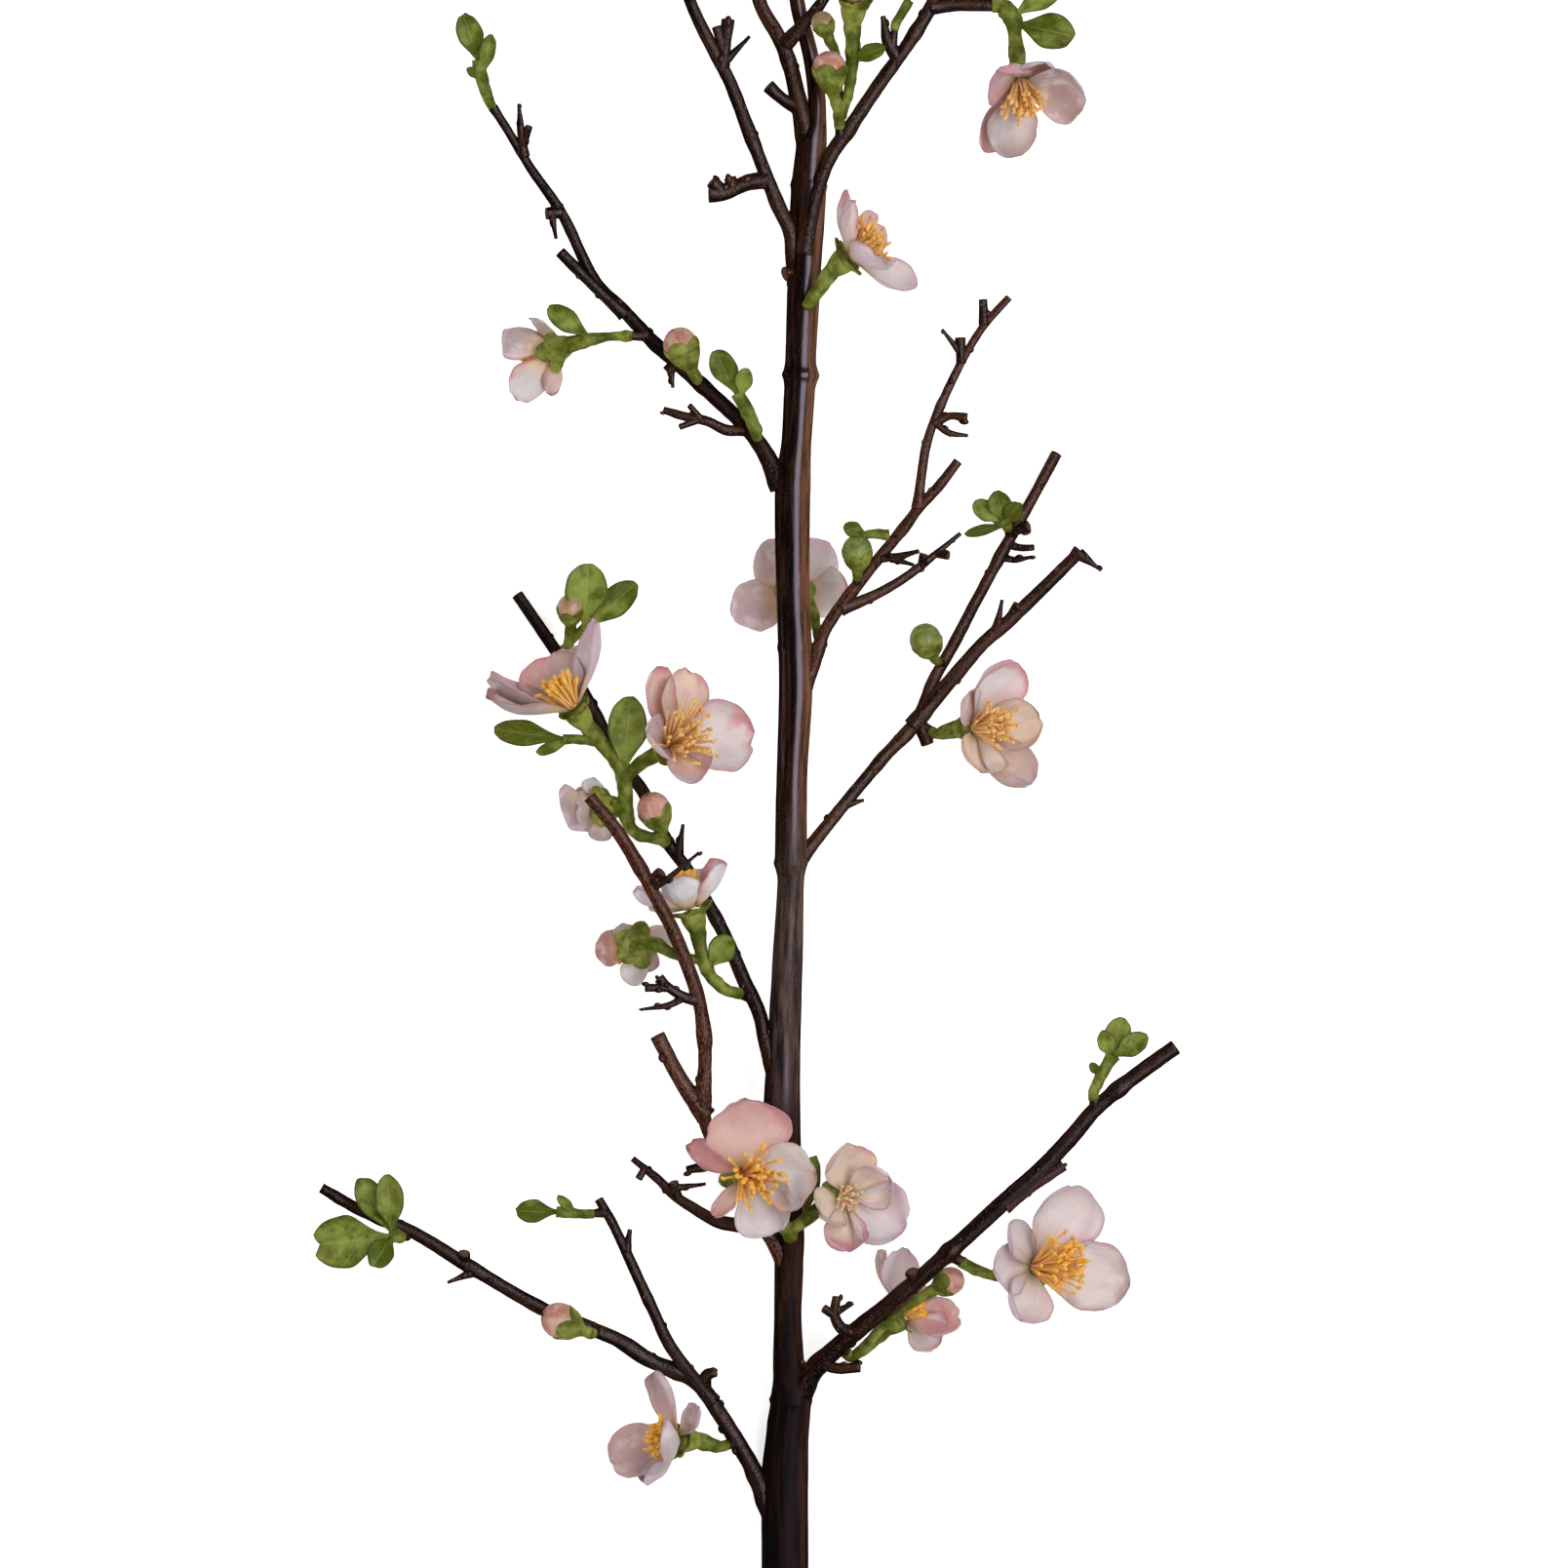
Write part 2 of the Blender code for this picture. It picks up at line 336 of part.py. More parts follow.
# Green sprigs. Each grows on a woody spur, given as its root, its end and its radius. The stalks
# are routes; a stalk that starts with None starts at the spur's end, a gap beyond it.
SPRIGS = {
    "sprig_01": dict(
        spur=((-30.5, 114.2, 24.8), (-36.0, 114.0, 26.0), 1.3),
        stalks=[[None, (-42.0, 113.8, 27.6, 1.1), (-48.5, 112.6, 29.4, 1.2), (1, "bloom")]],
        leaves=[Leaf((-47.5, 112.8, 29.4), (-61.0, 122.6, 31.5), 6.6)]),
    "sprig_02": dict(
        spur=((18.0, 122.5, 33.0), (19.2, 123.2, 39.0), 1.5),
        stalks=[[None, (20.4, 125.0, 41.0, 1.3), (2, "bloom")]], leaves=[]),
    "sprig_03": dict(
        spur=None, tip_of="top_right_arm",
        stalks=[[None, (79.0, 213.6, 42.6, 2.3), (81.6, 210.5, 42.4, 2.3), (82.3, 206.0, 42.0, 1.6),
                 (3, "bloom")]],
        leaves=[Leaf((82.0, 209.0, 42.4), (100.6, 204.6, 45.5), 10.5),
                Leaf((81.6, 211.0, 42.6), (97.4, 222.0, 46.0), 8.0)]),
    "sprig_04": dict(
        spur=((22.9, 19.0, 30.7), (22.5, 21.0, 25.6), 1.4),
        stalks=[[None, (21.6, 24.5, 23.4, 1.2), (19.6, 30.0, 23.4, 1.3), (4, "bloom")]], leaves=[]),
    "sprig_05_06_07": dict(
        spur=((-24.4, -42.0, 13.4), (-25.5, -41.5, 19.5), 1.5),
        stalks=[[None, (-28.5, -40.8, 22.3, 1.5), (-34.5, -38.8, 23.5, 1.5), (-37.0, -34.0, 24.0, 1.8),
                 (-37.3, -26.0, 25.0, 1.9), (-38.2, -20.0, 26.0, 2.0), (-42.0, -14.5, 27.4, 1.8),
                 (5, "bloom")],
                [(-37.5, -22.5, 25.6, 1.4), (-32.5, -17.6, 26.2, 1.4), (6, "bloom")],
                [(-37.1, -30.5, 24.5, 1.2), (7, "bloom")],
                [(-28.8, -40.7, 22.3, 1.2), (4, "bud")],
                [(-44.5, -11.5, 28.2, 1.2), (-50.0, -10.4, 28.6, 1.0), (-56.5, -10.2, 29.0, 0.9)]],
        leaves=[Leaf((-37.8, -22.0, 25.8), (-35.8, 3.2, 30.0), 11.4),
                Leaf((-55.0, -10.2, 29.0), (-77.8, -7.2, 30.5), 7.6),
                Leaf((-54.0, -10.2, 29.0), (-64.5, -14.5, 29.5), 3.6)]),
    "sprig_bud_03": dict(
        spur=((-58.8, 16.6, 5.2), (-56.0, 18.0, 11.0), 1.3),
        stalks=[[None, (-54.8, 20.0, 13.6, 1.4), (3, "bud")],
                [(-54.8, 19.8, 13.4, 1.1), (-49.5, 24.5, 15.8, 1.1)]],
        leaves=[Leaf((-50.2, 23.8, 15.5), (-48.7, 44.2, 20.0), 12.6),
                Leaf((-50.2, 23.8, 15.5), (-34.0, 38.1, 18.5), 8.5)]),
    "sprig_08_09": dict(
        spur=((1.2, -89.5, 20.2), (-2.5, -88.5, 24.6), 1.4),
        stalks=[[None, (-6.0, -87.6, 26.0, 1.5), (-11.2, -82.8, 26.2, 1.6), (-13.9, -75.5, 26.3, 1.7),
                 (8, "bloom")],
                [(-13.4, -78.5, 26.2, 1.2), (-21.5, -76.8, 26.4, 1.1), (-28.0, -73.4, 26.8, 1.2),
                 (9, "bloom")]],
        leaves=[Leaf((-12.0, -81.0, 26.2), (-4.8, -70.8, 28.0), 8.0)]),
    "sprig_10_11": dict(
        spur=((13.5, -163.5, 17.0), (13.5, -163.3, 22.8), 1.8),
        stalks=[[None, (12.9, -162.0, 24.8, 1.9), (8.5, -156.0, 25.2, 1.5), (3.6, -148.6, 23.6, 1.4),
                 (10, "bloom")],
                [(13.2, -162.0, 24.8, 1.5), (18.6, -158.0, 25.2, 1.3), (11, "bloom")]],
        leaves=[Leaf((17.6, -158.8, 25.2), (21.0, -138.5, 26.5), 5.6)]),
    "sprig_12": dict(
        spur=((62.2, -168.6, 27.4), (66.6, -171.4, 26.4), 1.5),
        stalks=[[None, (71.0, -173.8, 25.2, 1.4), (77.5, -175.8, 23.8, 1.2), (84.5, -175.4, 22.2, 1.2),
                 (12, "bloom")]],
        leaves=[]),
    "sprig_13": dict(
        spur=((29.0, -197.2, 17.4), (30.8, -200.0, 13.4), 1.4),
        stalks=[[None, (32.6, -201.4, 11.2, 1.3), (36.8, -198.4, 11.4, 1.3), (13, "bloom")],
                [(36.0, -199.2, 11.3, 1.0), (39.0, -195.6, 16.5, 0.9), (46.5, -187.5, 19.5, 0.9),
                 (8, "bud")]],
        leaves=[]),
    "sprig_14": dict(
        spur=((-2.6, -227.6, 10.8), (-6.5, -228.6, 14.0), 1.4),
        stalks=[[None, (-9.8, -228.6, 15.9, 1.3), (14, "bloom")]], leaves=[]),
    "sprig_15": dict(
        spur=((53.4, -5.6, 19.4), (57.4, -7.8, 20.8), 1.3),
        stalks=[[None, (60.4, -8.2, 21.3, 1.3), (15, "bloom")]], leaves=[]),
    "sprig_top": dict(
        spur=((29.3, 173.8, 38.0), (28.7, 177.8, 39.4), 1.4),
        stalks=[[None, (28.6, 180.6, 40.4, 1.6), (31.6, 189.0, 40.8, 1.3), (32.6, 200.0, 42.0, 1.4),
                 (16, "bloom")],
                [(28.7, 180.4, 40.4, 1.3), (27.8, 184.0, 42.0, 1.4), (2, "bud")],
                [(28.8, 181.0, 40.4, 0.9), (28.6, 188.0, 38.4, 0.9), (28.2, 198.0, 39.0, 0.9),
                 (9, "bud")]],
        leaves=[Leaf((31.5, 197.5, 42.0), (42.6, 201.6, 45.0), 5.0)]),
    "sprig_top_right": dict(
        spur=((44.6, 201.4, 41.2), (45.6, 207.6, 42.6), 1.1),
        stalks=[[None, (48.0, 212.5, 43.4, 1.0), (50.0, 216.0, 43.8, 0.9)]],
        leaves=[Leaf((49.6, 215.2, 43.7), (53.0, 228.0, 45.5), 6.0)]),
    "sprig_bud_01": dict(
        spur=((-14.8, 99.4, 27.2), (-15.2, 100.6, 31.0), 1.4),
        stalks=[[None, (-15.6, 101.4, 32.4, 1.5), (1, "bud")]], leaves=[]),
    "sprig_bud_05": dict(
        spur=((34.1, 37.5, 33.5), (34.1, 39.6, 36.2), 1.2),
        stalks=[[None, (34.1, 41.0, 37.2, 1.4), (5, "bud")],
                [(33.8, 50.0, 40.8, 1.1), (37.4, 52.5, 40.4, 1.0), (43.6, 52.4, 39.0, 1.0)]],
        leaves=[Leaf((37.0, 52.2, 40.4), (29.9, 55.2, 42.0), 4.6)]),
    "sprig_bud_06": dict(
        spur=((60.6, 13.0, 15.9), (58.9, 14.0, 18.4), 1.2),
        stalks=[[None, (6, "bud")]], leaves=[]),
    "sprig_bud_07": dict(
        spur=((-46.5, -192.8, 19.3), (-47.6, -193.2, 24.0), 1.4),
        stalks=[[None, (-48.2, -193.2, 25.2, 1.5), (7, "bud")]], leaves=[]),
    "sprig_bud_10": dict(
        spur=((82.0, 53.0, 8.2), (80.8, 55.4, 11.6), 1.2),
        stalks=[[None, (80.2, 56.6, 12.6, 1.6), (79.4, 58.2, 13.2, 1.9)]],
        leaves=[Leaf((79.6, 56.6, 12.8), (70.2, 63.2, 14.6), 6.0),
                Leaf((79.6, 56.6, 12.8), (77.0, 66.6, 16.4), 7.0),
                Leaf((79.6, 56.6, 12.8), (84.6, 62.8, 17.0), 5.6),
                Leaf((80.2, 56.2, 12.6), (67.6, 53.2, 13.6), 3.2)]),
    "leaf_sprig_01": dict(
        spur=None, tip_of="upper_left",
        stalks=[[None, (-79.6, 187.4, 25.9, 1.4), (-81.6, 193.8, 27.0, 1.4), (-82.4, 199.0, 27.8, 1.3)]],
        leaves=[Leaf((-82.0, 197.4, 27.5), (-87.1, 212.9, 30.0), 7.5),
                Leaf((-81.4, 194.0, 27.0), (-78.4, 206.6, 30.2), 4.8),
                Leaf((-81.2, 193.0, 26.9), (-86.0, 196.4, 28.6), 2.8)]),
    "leaf_sprig_02": dict(
        spur=((3.6, 81.0, 29.6), (3.2, 83.0, 33.6), 1.4),
        stalks=[[None, (2.9, 84.6, 34.8, 1.5), (0.8, 89.5, 35.4, 1.5), (-2.8, 96.0, 36.0, 1.2)]],
        leaves=[Leaf((-2.4, 95.0, 36.0), (-9.7, 109.2, 38.5), 7.6),
                Leaf((-1.8, 94.5, 35.9), (0.0, 103.6, 39.0), 5.2)]),
    "leaf_sprig_09": dict(
        spur=((-105.0, -163.0, 24.0), (-106.4, -163.4, 28.4), 1.4),
        stalks=[[None, (-107.4, -163.2, 29.6, 1.6), (-109.4, -162.4, 30.2, 1.7)]],
        leaves=[Leaf((-108.6, -162.6, 30.0), (-119.0, -145.0, 33.0), 8.4),
                Leaf((-108.6, -162.6, 30.0), (-110.2, -143.8, 36.0), 8.4),
                Leaf((-108.6, -162.8, 30.0), (-133.4, -165.8, 32.0), 15.5, notch=2.2),
                Leaf((-108.6, -162.8, 30.0), (-115.0, -172.2, 34.5), 7.6)]),
    "leaf_sprig_10": dict(
        spur=((-43.2, -155.8, 28.8), (-47.6, -156.2, 29.6), 1.2),
        stalks=[[None, (-51.5, -156.2, 30.0, 1.1), (-58.5, -155.6, 30.4, 1.0)]],
        leaves=[Leaf((-57.4, -155.6, 30.4), (-70.8, -155.2, 31.2), 6.8),
                Leaf((-52.5, -156.0, 30.1), (-58.0, -150.6, 32.6), 3.0)]),
    "leaf_sprig_11": dict(
        spur=((107.3, -123.9, 33.2), (106.8, -120.2, 34.4), 1.4),
        stalks=[[None, (107.4, -117.0, 35.2, 1.3), (110.0, -111.6, 36.2, 1.3), (112.6, -107.2, 37.0, 1.2)]],
        leaves=[Leaf((112.0, -108.0, 36.8), (115.4, -95.6, 38.0), 7.4),
                Leaf((112.0, -108.0, 36.8), (123.0, -101.0, 40.0), 6.6),
                Leaf((112.0, -108.0, 36.8), (109.2, -99.6, 40.5), 5.2),
                Leaf((108.8, -113.6, 35.8), (105.6, -109.6, 37.4), 2.8)]),
}


def clear_scene():
    """Removes whatever the scene starts with."""
    for thing in list(bpy.data.objects):
        bpy.data.objects.remove(thing, do_unlink=True)


def make_material(name, colour, roughness):
    """A plain Principled material."""
    material = bpy.data.materials.new(name)
    material.use_nodes = True
    shader = material.node_tree.nodes["Principled BSDF"]
    shader.inputs["Base Color"].default_value = (*colour, 1.0)
    shader.inputs["Roughness"].default_value = roughness
    shader.inputs["Metallic"].default_value = 0.0
    material.diffuse_color = (*colour, 1.0)
    return material


def make_collection(name):
    """A collection under the scene's own."""
    collection = bpy.data.collections.new(name)
    bpy.context.scene.collection.children.link(collection)
    return collection


def mesh_object(bm, collection):
    """A mesh object from a bmesh in millimetres."""
    bmesh.ops.scale(bm, vec=(MM, MM, MM), verts=bm.verts)
    mesh = bpy.data.meshes.new("piece")
    bm.to_mesh(mesh)
    bm.free()
    thing = bpy.data.objects.new("piece", mesh)
    collection.objects.link(thing)
    return thing


def evaluated_mesh(thing):
    """The mesh of an object with its modifiers done."""
    graph = bpy.context.evaluated_depsgraph_get()
    return bpy.data.meshes.new_from_object(thing.evaluated_get(graph))


def tube(route, level, collection, tilt=0.0):
    """A round tapering piece along a route of (x, y, z, radius)."""
    curve = bpy.data.curves.new("route", "CURVE")
    curve.dimensions = "3D"
    curve.bevel_depth = MM
    curve.bevel_resolution = level
    curve.use_fill_caps = True
    spline = curve.splines.new("POLY")
    spline.points.add(len(route) - 1)
    for point, (x, y, z, radius) in zip(spline.points, route):
        point.co = (x * MM, y * MM, z * MM, 1.0)
        point.radius = radius
        point.tilt = tilt
    line = bpy.data.objects.new("route", curve)
    collection.objects.link(line)
    mesh = evaluated_mesh(line)
    bpy.data.objects.remove(line, do_unlink=True)
    bm = bmesh.new()
    bm.from_mesh(mesh)
    bmesh.ops.remove_doubles(bm, verts=bm.verts, dist=1e-6)
    bmesh.ops.recalc_face_normals(bm, faces=bm.faces)
    bmesh.ops.scale(bm, vec=(1 / MM, 1 / MM, 1 / MM), verts=bm.verts)
    return mesh_object(bm, collection)


def loft(rings, placing, collection):
    """A closed piece through rings of (height, radii): each radius is one corner of its ring."""
    bm = bmesh.new()
    corners = len(rings[0][1])
    loops = []
    for height, radii in rings:
        loop = []
        for index, radius in enumerate(radii):
            angle = 2 * math.pi * index / corners
            spot = Vector((radius * math.cos(angle), radius * math.sin(angle), height))
            loop.append(bm.verts.new(placing @ spot))
        loops.append(loop)
    for low, high in zip(loops, loops[1:]):
        for index in range(corners):
            after = (index + 1) % corners
            bm.faces.new((low[index], low[after], high[after], high[index]))
    bm.faces.new(list(reversed(loops[0])))
    bm.faces.new(loops[-1])
    bmesh.ops.triangulate(bm, faces=bm.faces)
    return mesh_object(bm, collection)


def sheet(rows, columns, shape, thick, collection):
    """A closed blade: a grid of triangles set by shape(along, across) and thickened both ways."""
    bm = bmesh.new()
    bmesh.ops.create_grid(bm, x_segments=columns - 1, y_segments=rows - 1, size=1.0)
    bmesh.ops.triangulate(bm, faces=bm.faces)
    for vert in bm.verts:
        vert.co = shape((vert.co.y + 1) / 2, vert.co.x)
    blade = mesh_object(bm, collection)
    solid = blade.modifiers.new("thickness", "SOLIDIFY")
    solid.thickness = thick * MM
    solid.offset = 0.0
    mesh = evaluated_mesh(blade)
    blade.modifiers.clear()
    blade.data = mesh
    return blade


def join(name, pieces, material, parts, solver="EXACT"):
    """One node: the union of all its pieces."""
    target = pieces[0]
    if len(pieces) > 1:
        others = bpy.data.collections.new("others")
        for piece in pieces[1:]:
            others.objects.link(piece)
        union = target.modifiers.new("union", "BOOLEAN")
        union.operation = "UNION"
        union.operand_type = "COLLECTION"
        union.collection = others
        union.solver = solver
        mesh = evaluated_mesh(target)
        for piece in pieces:
            bpy.data.objects.remove(piece, do_unlink=True)
        bpy.data.collections.remove(others)
    else:
        mesh = target.data.copy()
        bpy.data.objects.remove(target, do_unlink=True)
    mesh.name = name
    mesh.materials.clear()
    mesh.materials.append(material)
    node = bpy.data.objects.new(name, mesh)
    parts.objects.link(node)
    return node


def petal_shape(bloom, tip, width):
    """The surface of one petal: narrow at its claw, bowed outwards, cupped, and blunt at its tip."""
    root = bloom.petal_root(tip)
    chord = tip - root
    forward = chord.normalized()
    inward = (bloom.facing - forward * bloom.facing.dot(forward)).normalized()
    sideways = inward.cross(forward)

    def shape(along, across):
        wide = width / 2 * (PETAL_CLAW + (1 - PETAL_CLAW) * math.sin(0.84 * math.pi * along ** 1.15))
        share = along * (1 - 0.1 * along * across * across)
        lift = PETAL_CUP * wide * across * across - PETAL_BOW * chord.length * math.sin(math.pi * share ** 1.3)
        return root + chord * share + sideways * (wide * across) + inward * lift

    return shape


def petals(number, bloom, material, parts, work):
    """The five petals of a bloom on their small core."""
    ring = (CORE_RADIUS,) * 6
    pieces = [loft([(GAP, ring), (CORE_TOP, ring)], bloom.frame(), work)]
    for tip, width in bloom.tips:
        pieces.append(sheet(4, 2, petal_shape(bloom, tip, width), PETAL_THICK, work))
    return join(f"petals_{number:02d}", pieces, material, parts)


def stamens(number, bloom, material, parts, work):
    """A tuft of club-shaped stamens on a small disc, inside the cup of the petals."""
    rng = random.Random(100 + number)
    steepest = bloom.steepest()
    disc = [(CORE_TOP + GAP, (STAMEN_DISC,) * 6), (CORE_TOP + GAP + 0.7, (STAMEN_DISC - 0.2,) * 6)]
    pieces = [loft(disc, bloom.frame(), work)]
    for index in range(STAMEN_COUNT):
        inner = index % 3 == 0
        turn = 2 * math.pi * (index + rng.uniform(-0.2, 0.2)) / STAMEN_COUNT
        lean = math.radians(steepest * (rng.uniform(0.1, 0.35) if inner else rng.uniform(0.6, 1.0)))
        tall = bloom.length * rng.uniform(0.36, 0.48)
        root = 0.45 if inner else 1.0
        bm = bmesh.new()
        bmesh.ops.create_cone(bm, cap_ends=True, segments=3, radius1=0.34, radius2=0.6, depth=tall)
        bmesh.ops.translate(bm, vec=(0, 0, tall / 2), verts=bm.verts)
        placing = (bloom.frame() @ Matrix.Rotation(turn, 4, "Z")
                   @ Matrix.Translation((root, 0, CORE_TOP + GAP + 0.25)) @ Matrix.Rotation(lean, 4, "Y"))
        bmesh.ops.transform(bm, matrix=placing, verts=bm.verts)
        pieces.append(mesh_object(bm, work))
    return join(f"stamens_{number:02d}", pieces, material, parts)


def calyx(bloom, work):
    """The green cup behind a bloom, with five pointed lobes at its rim."""
    star = (CALYX_LOBE, CALYX_NOTCH) * 5
    rings = [(-CALYX_LENGTH, (1.2,) * 10), (-2.4, (2.6,) * 10), (0.0, star)]
    return loft(rings, bloom.frame(), work)


def axes_at(place, facing):
    """Axes with Z along facing."""
    turn = facing.to_track_quat("Z", "Y").to_matrix().to_4x4()
    return Matrix.Translation(place) @ turn


def bud_ball(bud, work):
    """The round top of a pink bud, flat where it meets its cup."""
    size = bud.radius
    rings = [(-0.5 * size, (0.86 * size,) * 8), (0.0, (size,) * 8),
             (0.55 * size, (0.86 * size,) * 8), (0.95 * size, (0.48 * size,) * 8),
             (1.12 * size, (0.12 * size,) * 8)]
    return loft(rings, axes_at(bud.place, bud.facing), work)


def bud_cup(bud, work):
    """The green cup under a bud, with five lobes at its rim."""
    size = bud.radius
    star = (0.98 * size, 0.8 * size) * 5
    rings = [(-1.5 * size, (1.3,) * 10), (-1.0 * size, (0.56 * size,) * 10), (-0.5 * size - GAP, star)]
    return loft(rings, axes_at(bud.place, bud.facing), work)


def green_bud(bud, work):
    """A bud that is still closed, in one body with its cup."""
    size = bud.radius
    rings = [(-1.5 * size, (1.3,) * 8), (-0.9 * size, (0.66 * size,) * 8), (-0.1 * size, (size,) * 8),
             (0.55 * size, (0.84 * size,) * 8), (1.12 * size, (0.16 * size,) * 8)]
    return loft(rings, axes_at(bud.place, bud.facing), work)


def leaf_shape(leaf):
    """The surface of a spoon-shaped leaf, cupped along its midrib and bent back at its tip."""
    along_axis = leaf.tip - leaf.base
    length = along_axis.length
    forward = along_axis.normalized()
    across_axis = forward.cross(leaf.lean).normalized()
    up = across_axis.cross(forward)

    def shape(along, across):
        wide = LEAF_ROOT + (leaf.width / 2 - LEAF_ROOT) * math.sin(0.86 * math.pi * along ** 1.6)
        run = length * along * (1 - 0.12 * along * across * across)
        run -= leaf.notch * along ** 6 * max(0.0, 1 - 2 * abs(across))
        rise = 0.2 * wide * across * across + 0.07 * length * math.sin(math.pi * along)
        return leaf.base + forward * run + across_axis * (wide * across) + up * rise

    return shape


def sprig(name, plan, material, parts, work):
    """One green sprig: stalks, calyxes, bud cups, green buds and leaves."""
    if plan["spur"]:
        root, end, radius = plan["spur"]
    else:
        root, end = (point[:3] for point in BRANCHES[plan["tip_of"]][-2:])
        radius = BRANCHES[plan["tip_of"]][-1][3]
    onward = (Vector(end) - Vector(root)).normalized()
    start = Vector(end) + onward * GAP
    second = start + onward * 1.2
    pieces = []
    for route in plan["stalks"]:
        points = [(*start, radius), (*second, radius)] if route[0] is None else [route[0]]
        for step in route[1:]:
            if step[1] == "bloom":
                bloom = BLOOMS[step[0]]
                points.append((*bloom.behind(CALYX_LENGTH - 0.5), 1.3))
                points.append((*bloom.behind(CALYX_LENGTH - 2.0), 1.3))
                pieces.append(calyx(bloom, work))
            elif step[1] == "bud":
                bud = BUDS[step[0]]
                points.append((*bud.behind(bud.radius * 1.5 - 0.4), 1.4))
                points.append((*bud.behind(bud.radius * 1.5 - 1.4), 1.4))
                pieces.append(bud_cup(bud, work) if bud.pink else green_bud(bud, work))
            else:
                points.append(step)
        pieces.append(tube(points, TWIG_LEVEL, work))
    for leaf in plan["leaves"]:
        pieces.append(sheet(3, 2, leaf_shape(leaf), LEAF_THICK, work))
    return join(name, pieces, material, parts)


def wood(material, parts, work):
    """The whole woody branch as one grown piece."""
    pieces = [tube(STEM, STEM_LEVEL, work, tilt=math.pi / 8)]
    for route in BRANCHES.values():
        level = TWIG_LEVEL if route[0][3] < THIN_BRANCH else BRANCH_LEVEL
        pieces.append(tube(route, level, work))
    for route in TWIGS:
        pieces.append(tube(route, TWIG_LEVEL, work))
    for plan in SPRIGS.values():
        if plan["spur"]:
            root, end, radius = plan["spur"]
            pieces.append(tube([(*root, radius * 1.15), (*end, radius)], TWIG_LEVEL, work))
    return join("branch_wood", pieces, material, parts)


def build():
    """Every node of the branch."""
    clear_scene()
    parts = make_collection("quince_blossom_branch")
    work = make_collection("work")
    bark = make_material("bark", (0.045, 0.018, 0.012), 0.45)
    pale_pink = make_material("petal", (0.85, 0.68, 0.64), 0.6)
    yellow = make_material("stamen", (0.85, 0.48, 0.1), 0.6)
    green = make_material("leaf", (0.16, 0.28, 0.05), 0.45)
    salmon = make_material("bud", (0.78, 0.36, 0.3), 0.5)
    wood(bark, parts, work)
    for name, plan in SPRIGS.items():
        sprig(name, plan, green, parts, work)
    for number, bloom in BLOOMS.items():
        petals(number, bloom, pale_pink, parts, work)
        if number != BLOOM_WITHOUT_STAMENS:
            stamens(number, bloom, yellow, parts, work)
    for number, bud in BUDS.items():
        if bud.pink:
            join(f"bud_{number:02d}", [bud_ball(bud, work)], salmon, parts)
    bpy.data.collections.remove(work)


build()
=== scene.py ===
"""The look of the quince blossom branch, built over its CAD model in the same frame.

Every number in the tables is in millimetres. The wood is drawn as fine tubes along the CAD
model's routes, and each bloom, bud, stalk and leaf is redrawn finely where its CAD node is.
"""
import math
import random

import bpy
from mathutils import Matrix, Vector, noise


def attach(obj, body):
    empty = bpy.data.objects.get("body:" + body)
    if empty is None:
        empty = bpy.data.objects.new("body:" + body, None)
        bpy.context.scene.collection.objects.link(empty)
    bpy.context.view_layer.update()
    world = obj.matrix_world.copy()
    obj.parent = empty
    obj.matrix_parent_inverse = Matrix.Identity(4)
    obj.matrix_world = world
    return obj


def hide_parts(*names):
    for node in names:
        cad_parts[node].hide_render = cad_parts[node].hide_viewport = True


# Blender works in metres
MM = 0.001

# The photo's view: straight down, from far off, over a square of the surface
VIEW_CENTRE = (11.6, -24.0)
VIEW_WIDTH = 482.4
VIEW_HEIGHT = 3000.0
VIEW_LEVEL = 30.0
SENSOR_WIDTH = 36.0

# Measures of the CAD model: the gap between two nodes, a bloom's core, where petals root on it, how
# far they bow, how far stamens may lean and keep from petals, a leaf's root and a calyx bell
GAP = 0.3
CORE_TOP = 1.5
PETAL_ROOT_RADIUS = 2.2
PETAL_ROOT_HEIGHT = 0.95
PETAL_BOW = 0.1
STAMEN_LEAN = 38.0
STAMEN_ROOM = 14.0
LEAF_ROOT = 0.55
CALYX_LENGTH = 6.5

# How thick the drawn blades are, in the middle
PETAL_SKIN = 0.28
LEAF_SKIN = 0.5
LOBE_SKIN = 0.5
CUP_LOBE_SKIN = 0.35
BUD_SKIN = 0.25

# How finely things are drawn: rows and columns of a blade, sides and rows of a ball, steps along a
# tube in millimetres, sides round a tube, and the parts of a stamen's thread
PETAL_GRID = (28, 20)
LEAF_GRID = (22, 16)
LOBE_GRID = (12, 10)
BUD_GRID = (14, 12)
CUP_LOBE_GRID = (9, 8)
BUD_CORE_GRID = (28, 16)
MOUND_GRID = (14, 6)
STAMEN_HEAD_GRID = (9, 6)
LUMP_GRID = (9, 7)
LUMP_STEP = 0.8
STALK_STEP = 0.8
CALYX_SIDES = 30
CUP_SIDES = 20
STALK_SIDES = 14
THREAD_SIDES = 7
THREAD_PARTS = 7

# Each kind of bark: sides and step of its tube, how rough and knotty it is, how much wider it is at
# its root, and how far apart and how big the small lumps on it are
STEM_BARK = dict(sides=44, step=0.9, rough=0.008, knots=0.03)
BRANCH_BARK = dict(sides=20, step=0.8, rough=0.1, knots=0.5, collar=0.35)
TWIG_BARK = dict(sides=12, step=0.6, rough=0.14, knots=0.3, collar=0.3)
SPUR_BARK = dict(sides=12, step=0.6, rough=0.1, knots=0.0, collar=0.3)
STEM_LUMPS = dict(spacing=34.0, size=0.14)
BRANCH_LUMPS = dict(spacing=11.0, size=0.5)
TWIG_LUMPS = dict(spacing=5.0, size=0.75)

# Where the random draws of each kind of part start
SEEDS = dict(stem=1, branch=3, twig=40, spur=110, stem_lumps=300, branch_lumps=310, twig_lumps=400,
             stamens=500)

